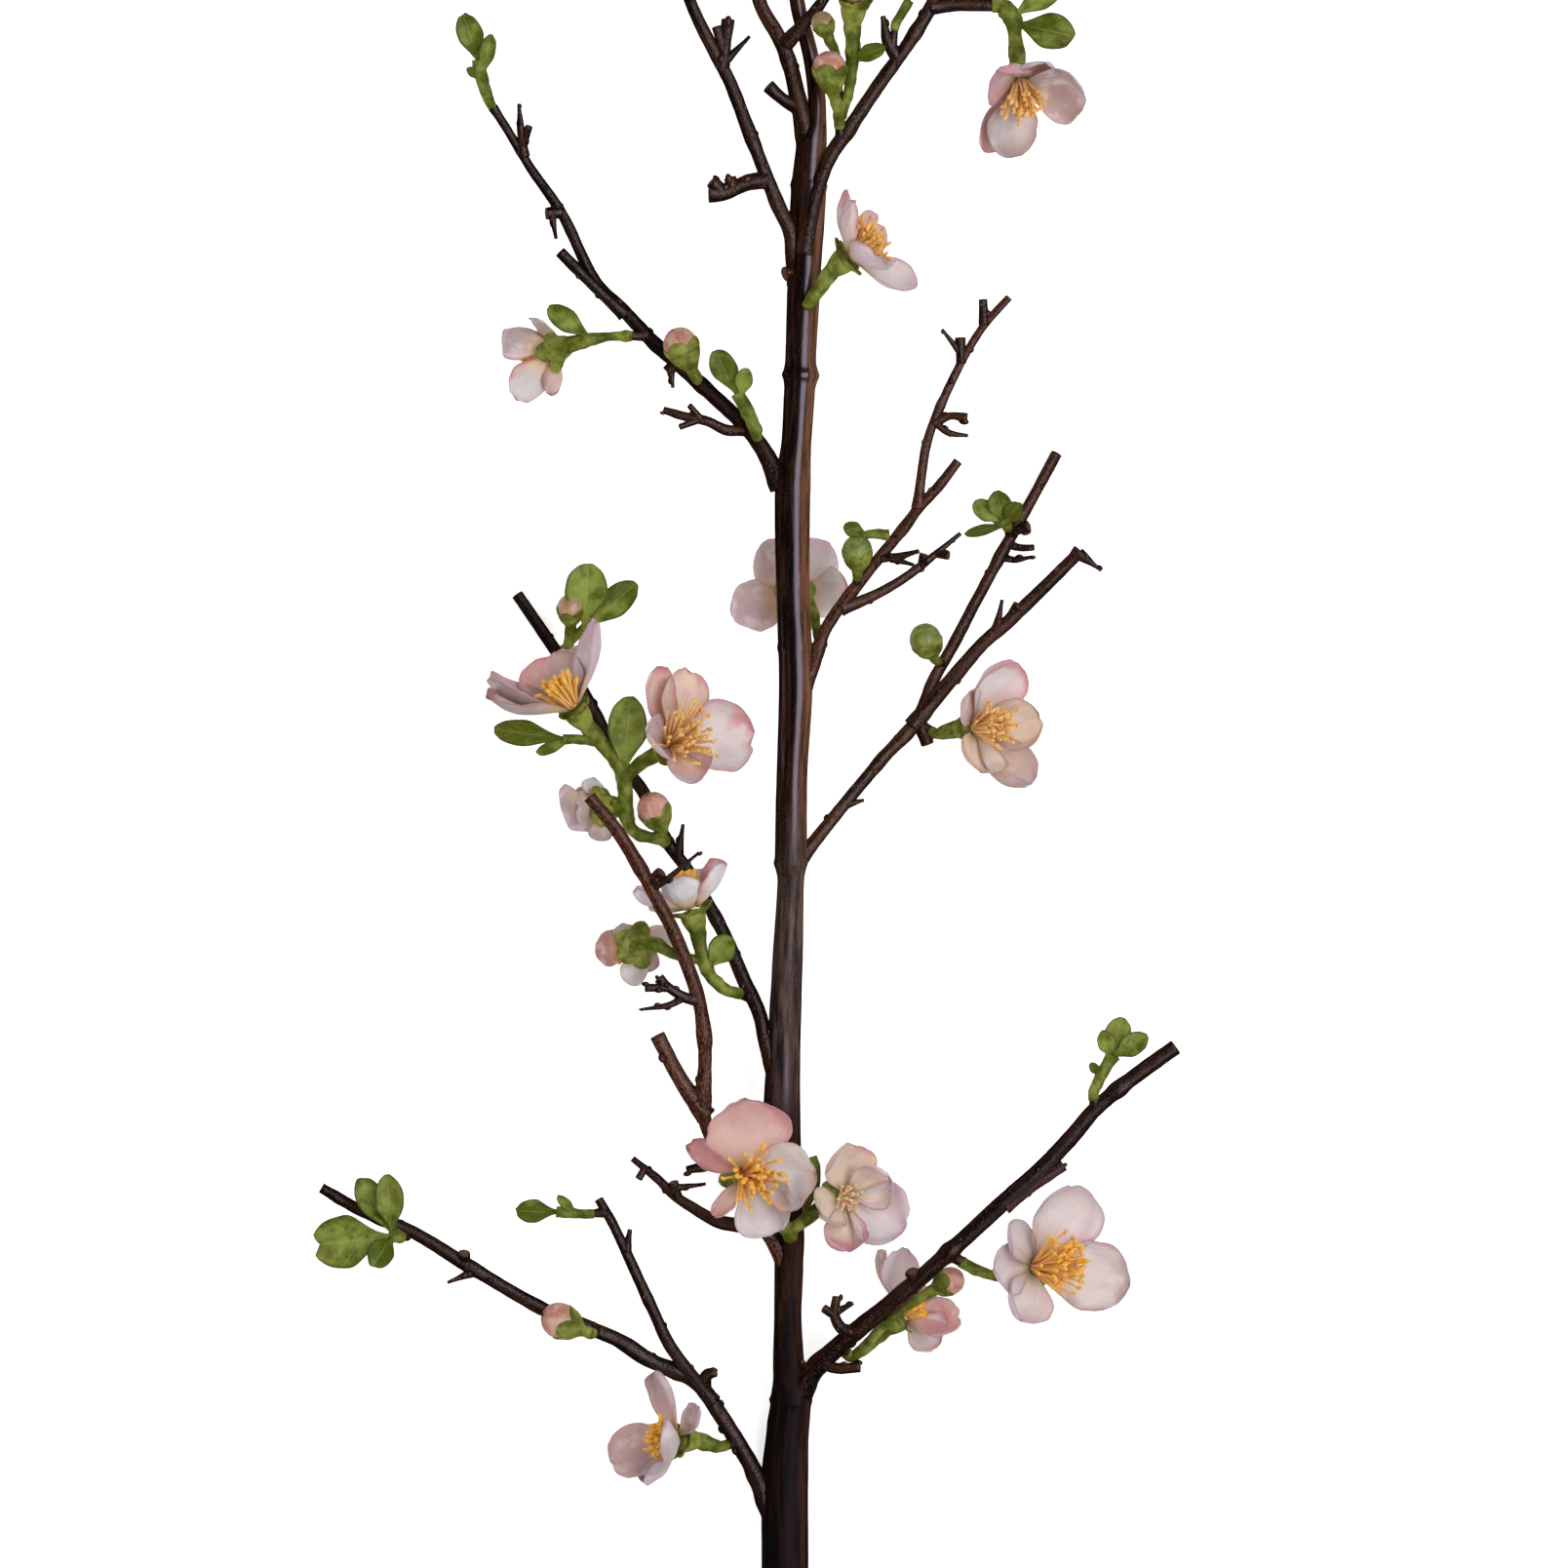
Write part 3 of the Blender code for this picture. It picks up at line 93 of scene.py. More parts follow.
# The soft mound under the stamens, and a thread's radius at its root, above it and what it loses
MOUND_SIZE = (2.2, 2.2, 0.8)
THREAD_ROOT = 0.46
THREAD_RADIUS = 0.42
THREAD_TAPER = 0.08

# The main stem, from the butt to the leader's tip. The first three points are level, so that the
# facet under them is the flat spot that the branch rests on: its height is the facet's distance.
BUTT_RADIUS = 7.3
BUTT_HEIGHT = BUTT_RADIUS * math.cos(math.pi / 8)
STEM = [
    (11.9, -277.2, BUTT_HEIGHT, BUTT_RADIUS), (11.9, -262.8, BUTT_HEIGHT, BUTT_RADIUS),
    (11.9, -238.8, BUTT_HEIGHT, BUTT_RADIUS), (12.8, -223.8, 7.6, 6.6), (13.7, -214.8, 8.8, 6.3),
    (13.1, -206.4, 10.0, 4.9), (12.8, -187.8, 12.5, 4.2), (13.1, -172.8, 14.5, 4.3),
    (12.8, -163.8, 15.6, 4.8), (11.0, -127.8, 19.6, 5.4), (11.9, -97.8, 22.4, 4.7),
    (12.5, -82.8, 23.6, 4.5), (13.7, -53.7, 25.8, 3.9), (13.7, -48.3, 26.2, 4.7),
    (14.0, -22.8, 27.6, 4.5), (15.2, 7.2, 29.0, 4.9), (14.3, 37.2, 30.2, 4.9), (14.3, 67.2, 31.2, 5.2),
    (15.5, 82.2, 31.6, 4.3), (16.4, 97.2, 32.0, 4.3), (16.7, 101.7, 32.1, 4.9),
    (16.7, 106.2, 32.2, 4.3), (17.6, 127.2, 32.6, 4.5), (19.1, 157.2, 33.2, 4.6),
    (20.0, 172.2, 33.4, 4.0), (21.8, 183.6, 33.5, 2.6), (19.7, 200.1, 33.6, 2.3),
    (15.8, 215.4, 33.8, 2.2), (14.0, 235.2, 34.2, 2.0), (14.9, 256.2, 35.0, 1.7),
    (17.0, 277.2, 36.0, 1.3),
]

# The branches, each from inside what it grows from to its cut end
BRANCHES = {
    "upper_left": [
        (10.7, 67.2, 31.0, 2.3), (5.9, 77.7, 30.0, 2.1), (-0.1, 85.8, 29.0, 2.0),
        (-13.0, 98.1, 27.0, 1.9), (-27.7, 111.3, 25.0, 1.8), (-37.6, 121.8, 24.0, 1.7),
        (-46.6, 131.1, 23.5, 1.6), (-56.8, 151.8, 23.5, 1.4), (-66.4, 165.6, 24.0, 1.3),
        (-74.2, 178.5, 25.0, 1.2), (-78.1, 184.5, 25.5, 1.2)],
    "upper_left_stub": [
        (-37.6, 120.6, 24.4, 1.5), (-48.1, 130.5, 27.0, 1.5), (-57.4, 139.8, 28.5, 1.5)],
    "top_left": [
        (16.1, 129.6, 33.0, 2.2), (14.6, 138.6, 34.0, 2.0), (13.7, 145.2, 35.0, 1.9),
        (9.8, 153.6, 35.5, 1.8), (1.1, 175.8, 36.5, 1.7), (-4.9, 191.4, 37.0, 1.6),
        (-8.5, 198.3, 37.2, 1.6), (-16.9, 215.4, 38.0, 1.5), (-22.6, 233.7, 39.0, 1.3),
        (-26.8, 251.7, 40.0, 1.1)],
    "top_middle": [
        (19.1, 172.2, 33.5, 2.4), (15.8, 187.2, 34.5, 2.1), (13.1, 197.4, 35.0, 2.0),
        (10.1, 205.2, 35.3, 1.9), (4.4, 215.4, 36.0, 1.8), (0.8, 232.2, 37.0, 1.6),
        (-1.6, 248.7, 38.0, 1.3), (-0.4, 262.2, 39.0, 1.0)],
    "top_right": [
        (17.9, 138.6, 36.0, 2.1), (20.9, 155.7, 37.0, 2.0), (25.1, 167.4, 37.6, 2.0),
        (32.0, 177.6, 38.2, 1.9), (40.7, 190.5, 39.5, 1.8), (49.4, 202.5, 41.0, 1.8),
        (56.9, 214.8, 42.0, 1.8), (63.8, 230.7, 43.5, 1.6), (71.9, 245.7, 45.0, 1.4),
        (77.0, 259.2, 46.0, 1.1)],
    "top_right_arm": [
        (56.3, 214.0, 42.0, 1.7), (65.9, 214.8, 42.3, 1.8), (76.0, 214.4, 42.6, 1.7)],
    "right_upper": [
        (17.6, 5.7, 29.0, 2.4), (20.6, 12.6, 30.0, 2.2), (24.8, 24.3, 31.5, 2.1),
        (38.3, 42.3, 34.2, 1.9), (48.8, 55.2, 36.0, 1.8), (53.0, 60.9, 37.0, 1.8),
        (59.0, 67.2, 38.0, 1.7), (65.0, 75.0, 39.0, 1.6)],
    "right_upper_shoot": [
        (52.7, 60.6, 37.0, 1.5), (53.6, 69.0, 37.6, 1.4), (55.1, 79.2, 38.3, 1.4),
        (57.5, 87.0, 39.0, 1.3), (61.7, 96.6, 39.8, 1.3), (66.8, 106.8, 40.5, 1.2),
        (72.8, 116.4, 41.2, 1.2), (80.6, 125.1, 42.0, 1.1)],
    "right_upper_twig": [
        (29.0, 30.0, 32.3, 1.3), (35.0, 32.1, 31.8, 1.2), (43.7, 36.3, 31.0, 1.1),
        (51.5, 41.4, 30.0, 1.0), (65.9, 53.1, 28.0, 0.5)],
    "right_lower": [
        (14.0, -51.9, 25.5, 2.3), (17.0, -46.8, 25.5, 2.3), (21.2, -41.4, 25.0, 2.1),
        (41.9, -16.2, 21.3, 2.0), (52.4, -4.8, 19.0, 2.1), (57.8, 8.1, 16.8, 1.9),
        (64.4, 19.8, 14.6, 1.9), (71.3, 33.0, 12.2, 1.8), (82.4, 53.4, 8.0, 1.8),
        (89.3, 65.7, 4.8, 1.8), (96.2, 78.6, 1.54, 1.8)],
    "right_lower_fork": [
        (51.2, -6.3, 19.2, 1.9), (64.4, 9.6, 21.0, 1.9), (72.8, 19.2, 22.0, 1.8),
        (81.5, 26.7, 23.0, 1.8), (100.4, 45.3, 25.0, 1.6), (102.8, 48.0, 25.3, 1.9)],
    "left_back": [
        (9.5, -112.8, 21.5, 2.3), (6.2, -104.4, 22.0, 2.1), (3.8, -94.2, 21.0, 2.0),
        (-0.7, -84.6, 19.6, 2.0), (-7.0, -70.2, 17.6, 1.9), (-16.9, -52.5, 15.0, 1.8),
        (-24.4, -42.0, 13.4, 1.8), (-32.2, -26.1, 11.4, 1.8), (-39.1, -17.4, 10.2, 1.8),
        (-49.6, 2.7, 7.6, 1.7), (-59.2, 17.4, 4.8, 1.7), (-71.2, 34.8, 1.49, 1.7)],
    "left_front": [
        (11.9, -171.3, 15.5, 2.2), (8.0, -164.7, 18.0, 2.0), (-0.4, -152.4, 20.2, 1.8),
        (-7.6, -139.8, 21.6, 1.8), (-11.8, -130.8, 22.8, 1.8), (-13.3, -124.2, 24.0, 1.9),
        (-12.7, -108.3, 27.8, 1.9), (-13.3, -98.1, 30.0, 1.9), (-15.1, -88.5, 32.0, 1.9),
        (-21.4, -71.4, 35.0, 1.9), (-25.0, -63.9, 36.0, 1.8), (-38.5, -39.9, 39.0, 1.8),
        (-48.1, -27.9, 40.0, 1.7)],
    "left_front_stub": [
        (-12.4, -126.6, 23.5, 1.8), (-15.1, -123.0, 24.0, 1.8), (-21.1, -113.7, 25.0, 1.8),
        (-27.4, -101.4, 26.0, 1.8)],
    "left_front_twig": [
        (5.6, -161.4, 18.8, 1.4), (-0.4, -160.5, 18.6, 1.4), (-9.1, -159.0, 18.0, 1.2),
        (-16.3, -155.1, 17.4, 1.1), (-22.3, -151.2, 17.0, 1.0), (-27.1, -146.4, 16.6, 0.9),
        (-35.2, -139.8, 16.0, 0.6)],
    "left_lower": [
        (10.4, -253.8, 6.8, 2.4), (5.9, -246.9, 7.6, 2.2), (4.4, -241.8, 8.3, 2.1),
        (0.5, -233.4, 9.8, 2.0), (-8.8, -218.1, 12.6, 2.0), (-15.7, -208.8, 14.4, 2.0),
        (-30.1, -201.9, 17.0, 1.9), (-39.4, -195.9, 18.4, 1.8), (-48.4, -192.0, 19.6, 1.8),
        (-62.2, -186.3, 21.0, 1.7), (-84.4, -173.4, 22.8, 1.7), (-102.7, -162.3, 24.0, 1.6),
        (-118.9, -155.4, 24.8, 1.5), (-130.9, -148.5, 25.5, 1.3)],
    "left_lower_fork": [
        (-10.3, -215.1, 13.6, 1.6), (-18.7, -204.3, 18.0, 1.6), (-24.1, -196.5, 20.5, 1.6),
        (-28.6, -186.6, 23.0, 1.5), (-40.6, -160.5, 28.0, 1.3), (-45.4, -151.8, 29.5, 1.2)],
    "right_base": [
        (15.8, -213.6, 9.6, 2.9), (21.2, -204.9, 13.5, 2.5), (27.2, -198.9, 16.6, 2.4),
        (35.3, -191.7, 20.2, 2.4), (44.9, -183.9, 23.5, 2.3), (61.7, -168.9, 27.4, 2.2),
        (81.8, -150.3, 30.2, 2.2), (92.3, -140.7, 31.4, 2.1), (100.4, -132.0, 32.4, 2.1),
        (107.3, -123.9, 33.2, 2.0), (118.7, -114.3, 34.2, 2.0), (131.9, -104.7, 35.0, 2.0)],
    "right_base_stub": [
        (79.4, -154.2, 29.6, 1.5), (88.4, -147.3, 30.0, 1.5), (97.7, -141.3, 30.2, 1.4)],
}

# Spurs with rounded knobs, short twigs and thorns, each from inside its branch to its end
TWIGS = [
    [(6.5, 161.5, 36, 1.6), (0.2, 160.5, 37, 1.6), (-6.7, 157.2, 38, 1.5), (-11.5, 157.0, 38.3, 1.8)],
    [(-4.0, 158.5, 37.6, 1.1), (-4.9, 162.0, 38.5, 1.2)],
    [(-6.7, 157.4, 38, 1.2), (-10.6, 160.8, 39.5, 1.3)],
    [(-7.2, 196.0, 37.2, 1.2), (-6.2, 203.0, 38.3, 1.1), (-5.5, 210.6, 39, 1.4)],
    [(-6.7, 200.5, 37.9, 0.9), (-9.0, 208.2, 40, 1.1)],
    [(-6.8, 197.4, 37.4, 0.8), (1.1, 205.2, 40, 0.35)],
    [(15.5, 133.6, 33.5, 1.2), (11.9, 132.7, 35.5, 1.4)],
    [(15.5, 184.0, 34.4, 1.3), (11.0, 186.5, 35.5, 1.2), (6.8, 190.2, 37, 1.4)],
    [(12.0, 203.0, 36, 1.4), (17.0, 208.5, 38.3, 1.4), (21.8, 213.9, 39.5, 1.3), (27, 221, 40.5, 1.0)],
    [(-68.5, 169.5, 24.4, 1.0), (-69.4, 177.0, 26.5, 0.9), (-70, 185.4, 28, 0.4)],
    [(-68.9, 172.4, 25.2, 0.8), (-66.9, 178.5, 28, 0.8)],
    [(-57.0, 152.2, 23.5, 1.1), (-61.6, 151.8, 25, 1.2)],
    [(-60.0, 151.9, 24.6, 0.8), (-58.6, 144.0, 27, 0.4)],
    [(-21.5, 106.0, 25.9, 1.1), (-24.2, 103.0, 26.5, 1.2)],
    [(-23.4, 103.8, 26.4, 0.8), (-22.6, 98.1, 27.5, 0.4)],
    [(-0.5, 85.0, 29, 1.2), (-6.0, 84.9, 29.5, 1.1), (-12.1, 87.6, 30.5, 1.1), (-19.6, 89.2, 31, 1.0),
     (-25.5, 91.0, 31.5, 0.8)],
    [(-14.0, 88.0, 30.7, 0.8), (-17.5, 92.5, 32, 0.6)],
    [(-15.0, 88.2, 30.8, 0.8), (-20.5, 85.6, 32, 0.6)],
    [(73.0, 116.8, 41.3, 1.0), (72.6, 124.5, 42, 0.9)],
    [(66.0, 105.0, 40.4, 0.9), (65.6, 112.8, 41.5, 1.1)],
    [(65.8, 108.0, 40.9, 0.7), (60.0, 115.2, 42.5, 0.4)],
    [(57.6, 86.5, 39, 0.9), (62.5, 88.8, 40, 0.8), (67.7, 88.2, 40.8, 1.0)],
    [(58.3, 86.6, 39.1, 0.7), (62.0, 83.8, 39.6, 0.7), (68.0, 82.8, 40, 0.4)],
    [(58.5, 46.8, 29, 0.7), (62.3, 46.2, 30.5, 0.8)],
    [(54.0, 43.0, 29.7, 0.8), (54.6, 46.5, 31.2, 0.8)],
    [(41.5, 45.5, 34.9, 0.9), (46.5, 45.8, 36.5, 0.8), (53.0, 47.4, 38.5, 0.5)],
    [(44.5, 45.2, 35.9, 0.7), (51.5, 43.2, 37.5, 0.4)],
    [(30.0, -30.5, 23.6, 0.9), (36.2, -29.0, 24.5, 0.4)],
    [(83.2, 54.6, 7.7, 1.0), (87.4, 55.8, 9.5, 1.2)],
    [(80.8, 50.5, 8.6, 0.9), (84.5, 49.2, 9.8, 0.8), (89.0, 49.2, 11, 0.7)],
    [(78.8, 46.4, 9.5, 0.8), (83.0, 45.4, 10.8, 0.7), (88.6, 46.3, 12, 0.4)],
    [(75.5, 21.5, 22.4, 0.9), (77.3, 25.5, 24, 0.8), (78.8, 32.7, 25.5, 0.4)],
    [(81.5, 27.5, 23, 0.9), (83.8, 31.3, 24.5, 1.1)],
    [(102.4, 47.0, 25.2, 1.1), (109.3, 41.8, 26.5, 0.4)],
    [(54.0, -6.6, 19.4, 1.2), (55.9, -11.8, 20.2, 1.3)],
    [(-21.2, -46.8, 14.3, 1.0), (-19.6, -36.5, 17.5, 0.4)],
    [(-30.2, -55.0, 37.2, 1.0), (-25.9, -51.0, 39.5, 1.2)],
    [(-29.5, -56.2, 37.1, 0.8), (-25.9, -54.4, 38.6, 0.7), (-14.4, -45.0, 41, 0.35)],
    [(-14.8, -90.5, 31.6, 1.2), (-19.0, -89.5, 33, 1.1), (-24.4, -86.1, 34.5, 1.0),
     (-26.8, -83.6, 35, 1.2)],
    [(-24.0, -86.6, 34.3, 0.8), (-31.0, -86.6, 35.5, 0.9)],
    [(-19.5, -89.6, 33, 0.8), (-23.5, -91.8, 34, 0.7), (-32.5, -93.3, 35, 0.35)],
    [(-21.5, -151.6, 17.1, 0.9), (-22.5, -147.0, 19, 1.0)],
    [(-22.0, -148.8, 18.3, 0.7), (-12.6, -147.5, 19, 0.35)],
    [(-31.5, -142.8, 16.2, 0.7), (-33.4, -146.0, 17, 0.8)],
    [(-7.6, -140.0, 21.6, 1.2), (-12.4, -141.8, 22.5, 1.1), (-18.4, -143.1, 23, 0.9)],
    [(-83.5, -174.2, 22.8, 1.0), (-92.0, -177.6, 25.5, 0.4)],
    [(-87.0, -171.8, 23, 1.0), (-86.9, -168.6, 25, 1.2)],
    [(-37.0, -167.8, 26.8, 0.9), (-35.8, -161.2, 28.5, 0.5)],
    [(-13.0, -210.2, 13.8, 1.2), (-12.4, -207.0, 15.8, 1.3), (-9.6, -205.6, 16.8, 1.1)],
    [(33.2, -193.6, 19.4, 1.3), (29.2, -191.8, 22, 1.2), (27.2, -187.5, 23.5, 1.1),
     (27.8, -182.1, 24.5, 1)],
    [(27.4, -188.0, 23.4, 0.8), (23.9, -185.6, 25, 0.9)],
    [(27.4, -187.0, 23.6, 0.8), (32.8, -184.0, 25.5, 0.5)],
    [(23.0, -202.5, 15, 1.3), (28.0, -204.5, 18, 1.2), (35.0, -204.0, 19.5, 1.2)],
    [(19.5, -207.5, 12.5, 0.9), (17.5, -202.5, 17, 0.5)],
    [(52.0, -177.0, 25.6, 1.0), (51.0, -174.0, 27.5, 1.2)],
    [(46.5, 198.5, 40.4, 1.3), (43.5, 203.5, 41.6, 1.3), (41.9, 211.2, 42.8, 0.6)],
]


class Bloom:
    """A bloom: the middle of its calyx rim, where it faces, and each petal's tip and width."""

    def __init__(self, place, facing, tips):
        self.place = Vector(place)
        self.facing = Vector(facing).normalized()
        self.tips = [(Vector(tip[:3]), tip[3]) for tip in tips]
        self.length = sum((tip - self.place).length for tip, _ in self.tips) / len(tips)

    def frame(self):
        """The bloom's own axes: Z is where it faces."""
        side = Vector((0, 0, 1)) if abs(self.facing.z) < 0.8 else Vector((0, 1, 0))
        across = side.cross(self.facing).normalized()
        up = self.facing.cross(across)
        turn = Matrix((across, up, self.facing)).transposed()
        return Matrix.Translation(self.place) @ turn.to_4x4()

    def behind(self, distance):
        """A point on the bloom's axis, behind the calyx rim."""
        return self.place - self.facing * distance

    def petal_root(self, tip):
        """Where the petal that ends at this tip starts on the bloom's core."""
        outward = tip - self.place
        outward -= self.facing * outward.dot(self.facing)
        return self.place + outward.normalized() * PETAL_ROOT_RADIUS + self.facing * PETAL_ROOT_HEIGHT

    def steepest(self):
        """How far a stamen may lean from the bloom's axis without meeting a petal, in degrees."""
        angles = [math.degrees((tip - self.petal_root(tip)).angle(self.facing)) for tip, _ in self.tips]
        return max(6.0, min(STAMEN_LEAN, min(angles) - STAMEN_ROOM))


BLOOMS = {
    1: Bloom((-59.0, 110.0, 24), (-0.72, -0.2, -0.65), [
        (-75.0, 115.2, 18.0, 15), (-70.0, 93.9, 18.0, 14), (-59.8, 95.7, 19.0, 8),
        (-67.6, 103.8, 7.0, 14), (-64.0, 119.1, 11.0, 12)]),
    2: Bloom((31.0, 137.0, 43), (0.75, 0.58, 0.3), [
        (29.6, 158.1, 41.0, 10), (40.4, 149.1, 32.0, 13), (52.7, 129.6, 40.0, 15),
        (42.8, 136.2, 56.0, 16), (31.7, 153.6, 53.0, 12)]),
    3: Bloom((83.9, 192.0, 43), (0.1, -0.75, 0.65), [
        (104.0, 186.0, 47.0, 22), (81.8, 167.1, 46.0, 14), (72.5, 170.1, 42.0, 10),
        (76.7, 192.6, 57.0, 15), (91.4, 195.6, 57.0, 13)]),
    4: Bloom((15.5, 34.4, 16), (-0.1, 0.12, -0.98), [
        (4.7, 50.4, 11.0, 16), (-4.6, 28.2, 12.0, 15), (24.2, 51.3, 12.0, 16),
        (31.7, 34.2, 13.0, 15), (14.0, 20.1, 11.0, 10)]),
    5: Bloom((-52.6, -1.2, 31), (-0.55, 0.75, 0.35), [
        (-46.9, 26.4, 35.0, 12), (-79.6, 8.1, 34.0, 14), (-61.0, 16.5, 23.0, 18),
        (-79.9, 3.3, 42.0, 14), (-54.1, 18.6, 19.0, 14)]),
    6: Bloom((-23.5, -12.3, 33), (0.5, 0.3, 0.8), [
        (-28.0, 12.0, 38.0, 13), (-18.4, 11.7, 31.0, 15), (2.6, -8.4, 32.0, 21),
        (-14.2, -23.1, 41.0, 15), (-30.4, -9.3, 47.0, 14)]),
    7: Bloom((-44.0, -31.2, 19.5), (-0.8, 0.0, -0.6), [
        (-47.8, -21.9, 15.5, 12), (-54.7, -37.2, 15.5, 15), (-52.6, -28.2, 7.5, 12),
        (-43.0, -41.4, 15.5, 10), (-52.0, -30.6, 23.5, 12)]),
    8: Bloom((-16.6, -63.3, 27.5), (-0.25, 0.93, 0.1), [
        (-35.2, -57.6, 24.5, 13), (-22.9, -53.7, 34.5, 13), (-7.0, -48.0, 31.5, 14),
        (-15.1, -50.4, 17.5, 13), (-29.2, -61.8, 20.5, 10)]),
    9: Bloom((-34.6, -73.8, 19.5), (-0.15, -0.2, -0.97), [
        (-47.2, -75.3, 15.5, 11), (-22.9, -69.3, 15.5, 8), (-34.0, -86.7, 15.5, 8),
        (-38.5, -67.5, 13.5, 8), (-28.6, -81.6, 12.5, 8)]),
    10: Bloom((-0.6, -144.3, 29), (0.05, 0.0, 1.0), [
        (0.2, -120.6, 35.0, 25), (21.2, -144.0, 35.0, 20), (10.4, -161.4, 34.0, 19),
        (-8.6, -156.6, 41.0, 7), (-18.4, -135.3, 32.0, 10)]),
    11: Bloom((29.5, -151.2, 29), (0.4, 0.0, 0.9), [
        (32.3, -135.0, 37.0, 17), (44.3, -144.9, 35.0, 14), (48.5, -161.4, 32.0, 19),
        (30.8, -167.7, 37.0, 12), (22.4, -156.0, 38.0, 13)]),
    12: Bloom((88.4, -172.8, 29), (0.5, 0.1, 0.85), [
        (101.9, -146.7, 34.0, 21), (117.5, -179.4, 32.0, 20), (83.0, -188.4, 43.0, 15),
        (76.1, -171.6, 45.0, 15), (81.8, -158.4, 44.0, 10)]),
    13: Bloom((47.9, -189.0, 13), (0.75, 0.55, 0.2), [
        (48.8, -167.7, 13.0, 13), (40.7, -168.3, 10.0, 9), (59.0, -198.3, 15.0, 14),
        (66.2, -190.8, 18.0, 14), (59.0, -184.2, 4.0, 12)]),
    14: Bloom((-20.5, -226.2, 20), (-0.85, 0.1, 0.5), [
        (-29.5, -205.5, 23.0, 11), (-14.5, -216.0, 29.0, 8), (-26.8, -231.0, 36.0, 18),
        (-31.0, -240.0, 25.0, 15), (-42.7, -232.2, 15.0, 17)]),
    15: Bloom((69.4, -6.6, 26), (0.7, 0.05, 0.7), [
        (82.4, 14.1, 29.0, 18), (91.4, -4.2, 27.0, 15), (87.2, -24.6, 29.0, 14),
        (71.0, -20.4, 36.0, 16), (68.0, 4.2, 37.0, 13)]),
    16: Bloom((33.2, 214.5, 45), (0.1, 0.95, 0.3), [
        (26.5, 230.7, 51.6, 11), (33.6, 227.9, 58.1, 11), (42.5, 228.5, 53.4, 11),
        (40.8, 231.6, 44.0, 11), (30.9, 233.0, 42.9, 11)]),
}
BLOOM_WITHOUT_STAMENS = 16


class Bud:
    """A round bud: its middle, the way its tip points and its radius."""

    def __init__(self, place, facing, radius, pink):
        self.place = Vector(place)
        self.facing = Vector(facing).normalized()
        self.radius = radius
        self.pink = pink

    def behind(self, distance):
        """A point on the bud's axis, behind its middle."""
        return self.place - self.facing * distance


BUDS = {
    1: Bud((-19.9, 110.4, 35), (-0.4, 0.88, 0.25), 5.2, True),
    2: Bud((25.6, 194.7, 44.8), (-0.15, 0.97, 0.15), 5.0, True),
    3: Bud((-54.4, 30.0, 17), (0.0, 0.95, 0.3), 4.0, False),
    4: Bud((-28.3, -32.1, 25.5), (-0.35, 0.85, 0.3), 5.0, True),
    5: Bud((34.1, 47.2, 39.4), (0.0, 0.95, 0.3), 4.5, False),
    6: Bud((55.4, 20.2, 24.0), (-0.35, 0.7, 0.6), 4.8, False),
    7: Bud((-57.1, -189.3, 28.5), (-0.85, 0.4, 0.3), 5.4, True),
    8: Bud((62.6, -177.6, 20.5), (0.85, 0.45, 0.2), 4.2, False),
    9: Bud((23.6, 208.8, 43.5), (-0.35, 0.9, 0.2), 3.4, False),
}


class Leaf:
    """A spoon-shaped leaf from its base to its tip, with its width and how its face leans."""

    def __init__(self, base, tip, width, lean=(0.0, 0.0, 1.0), notch=0.0):
        self.base = Vector(base)
        self.tip = Vector(tip)
        self.width = width
        self.lean = Vector(lean)
        self.notch = notch


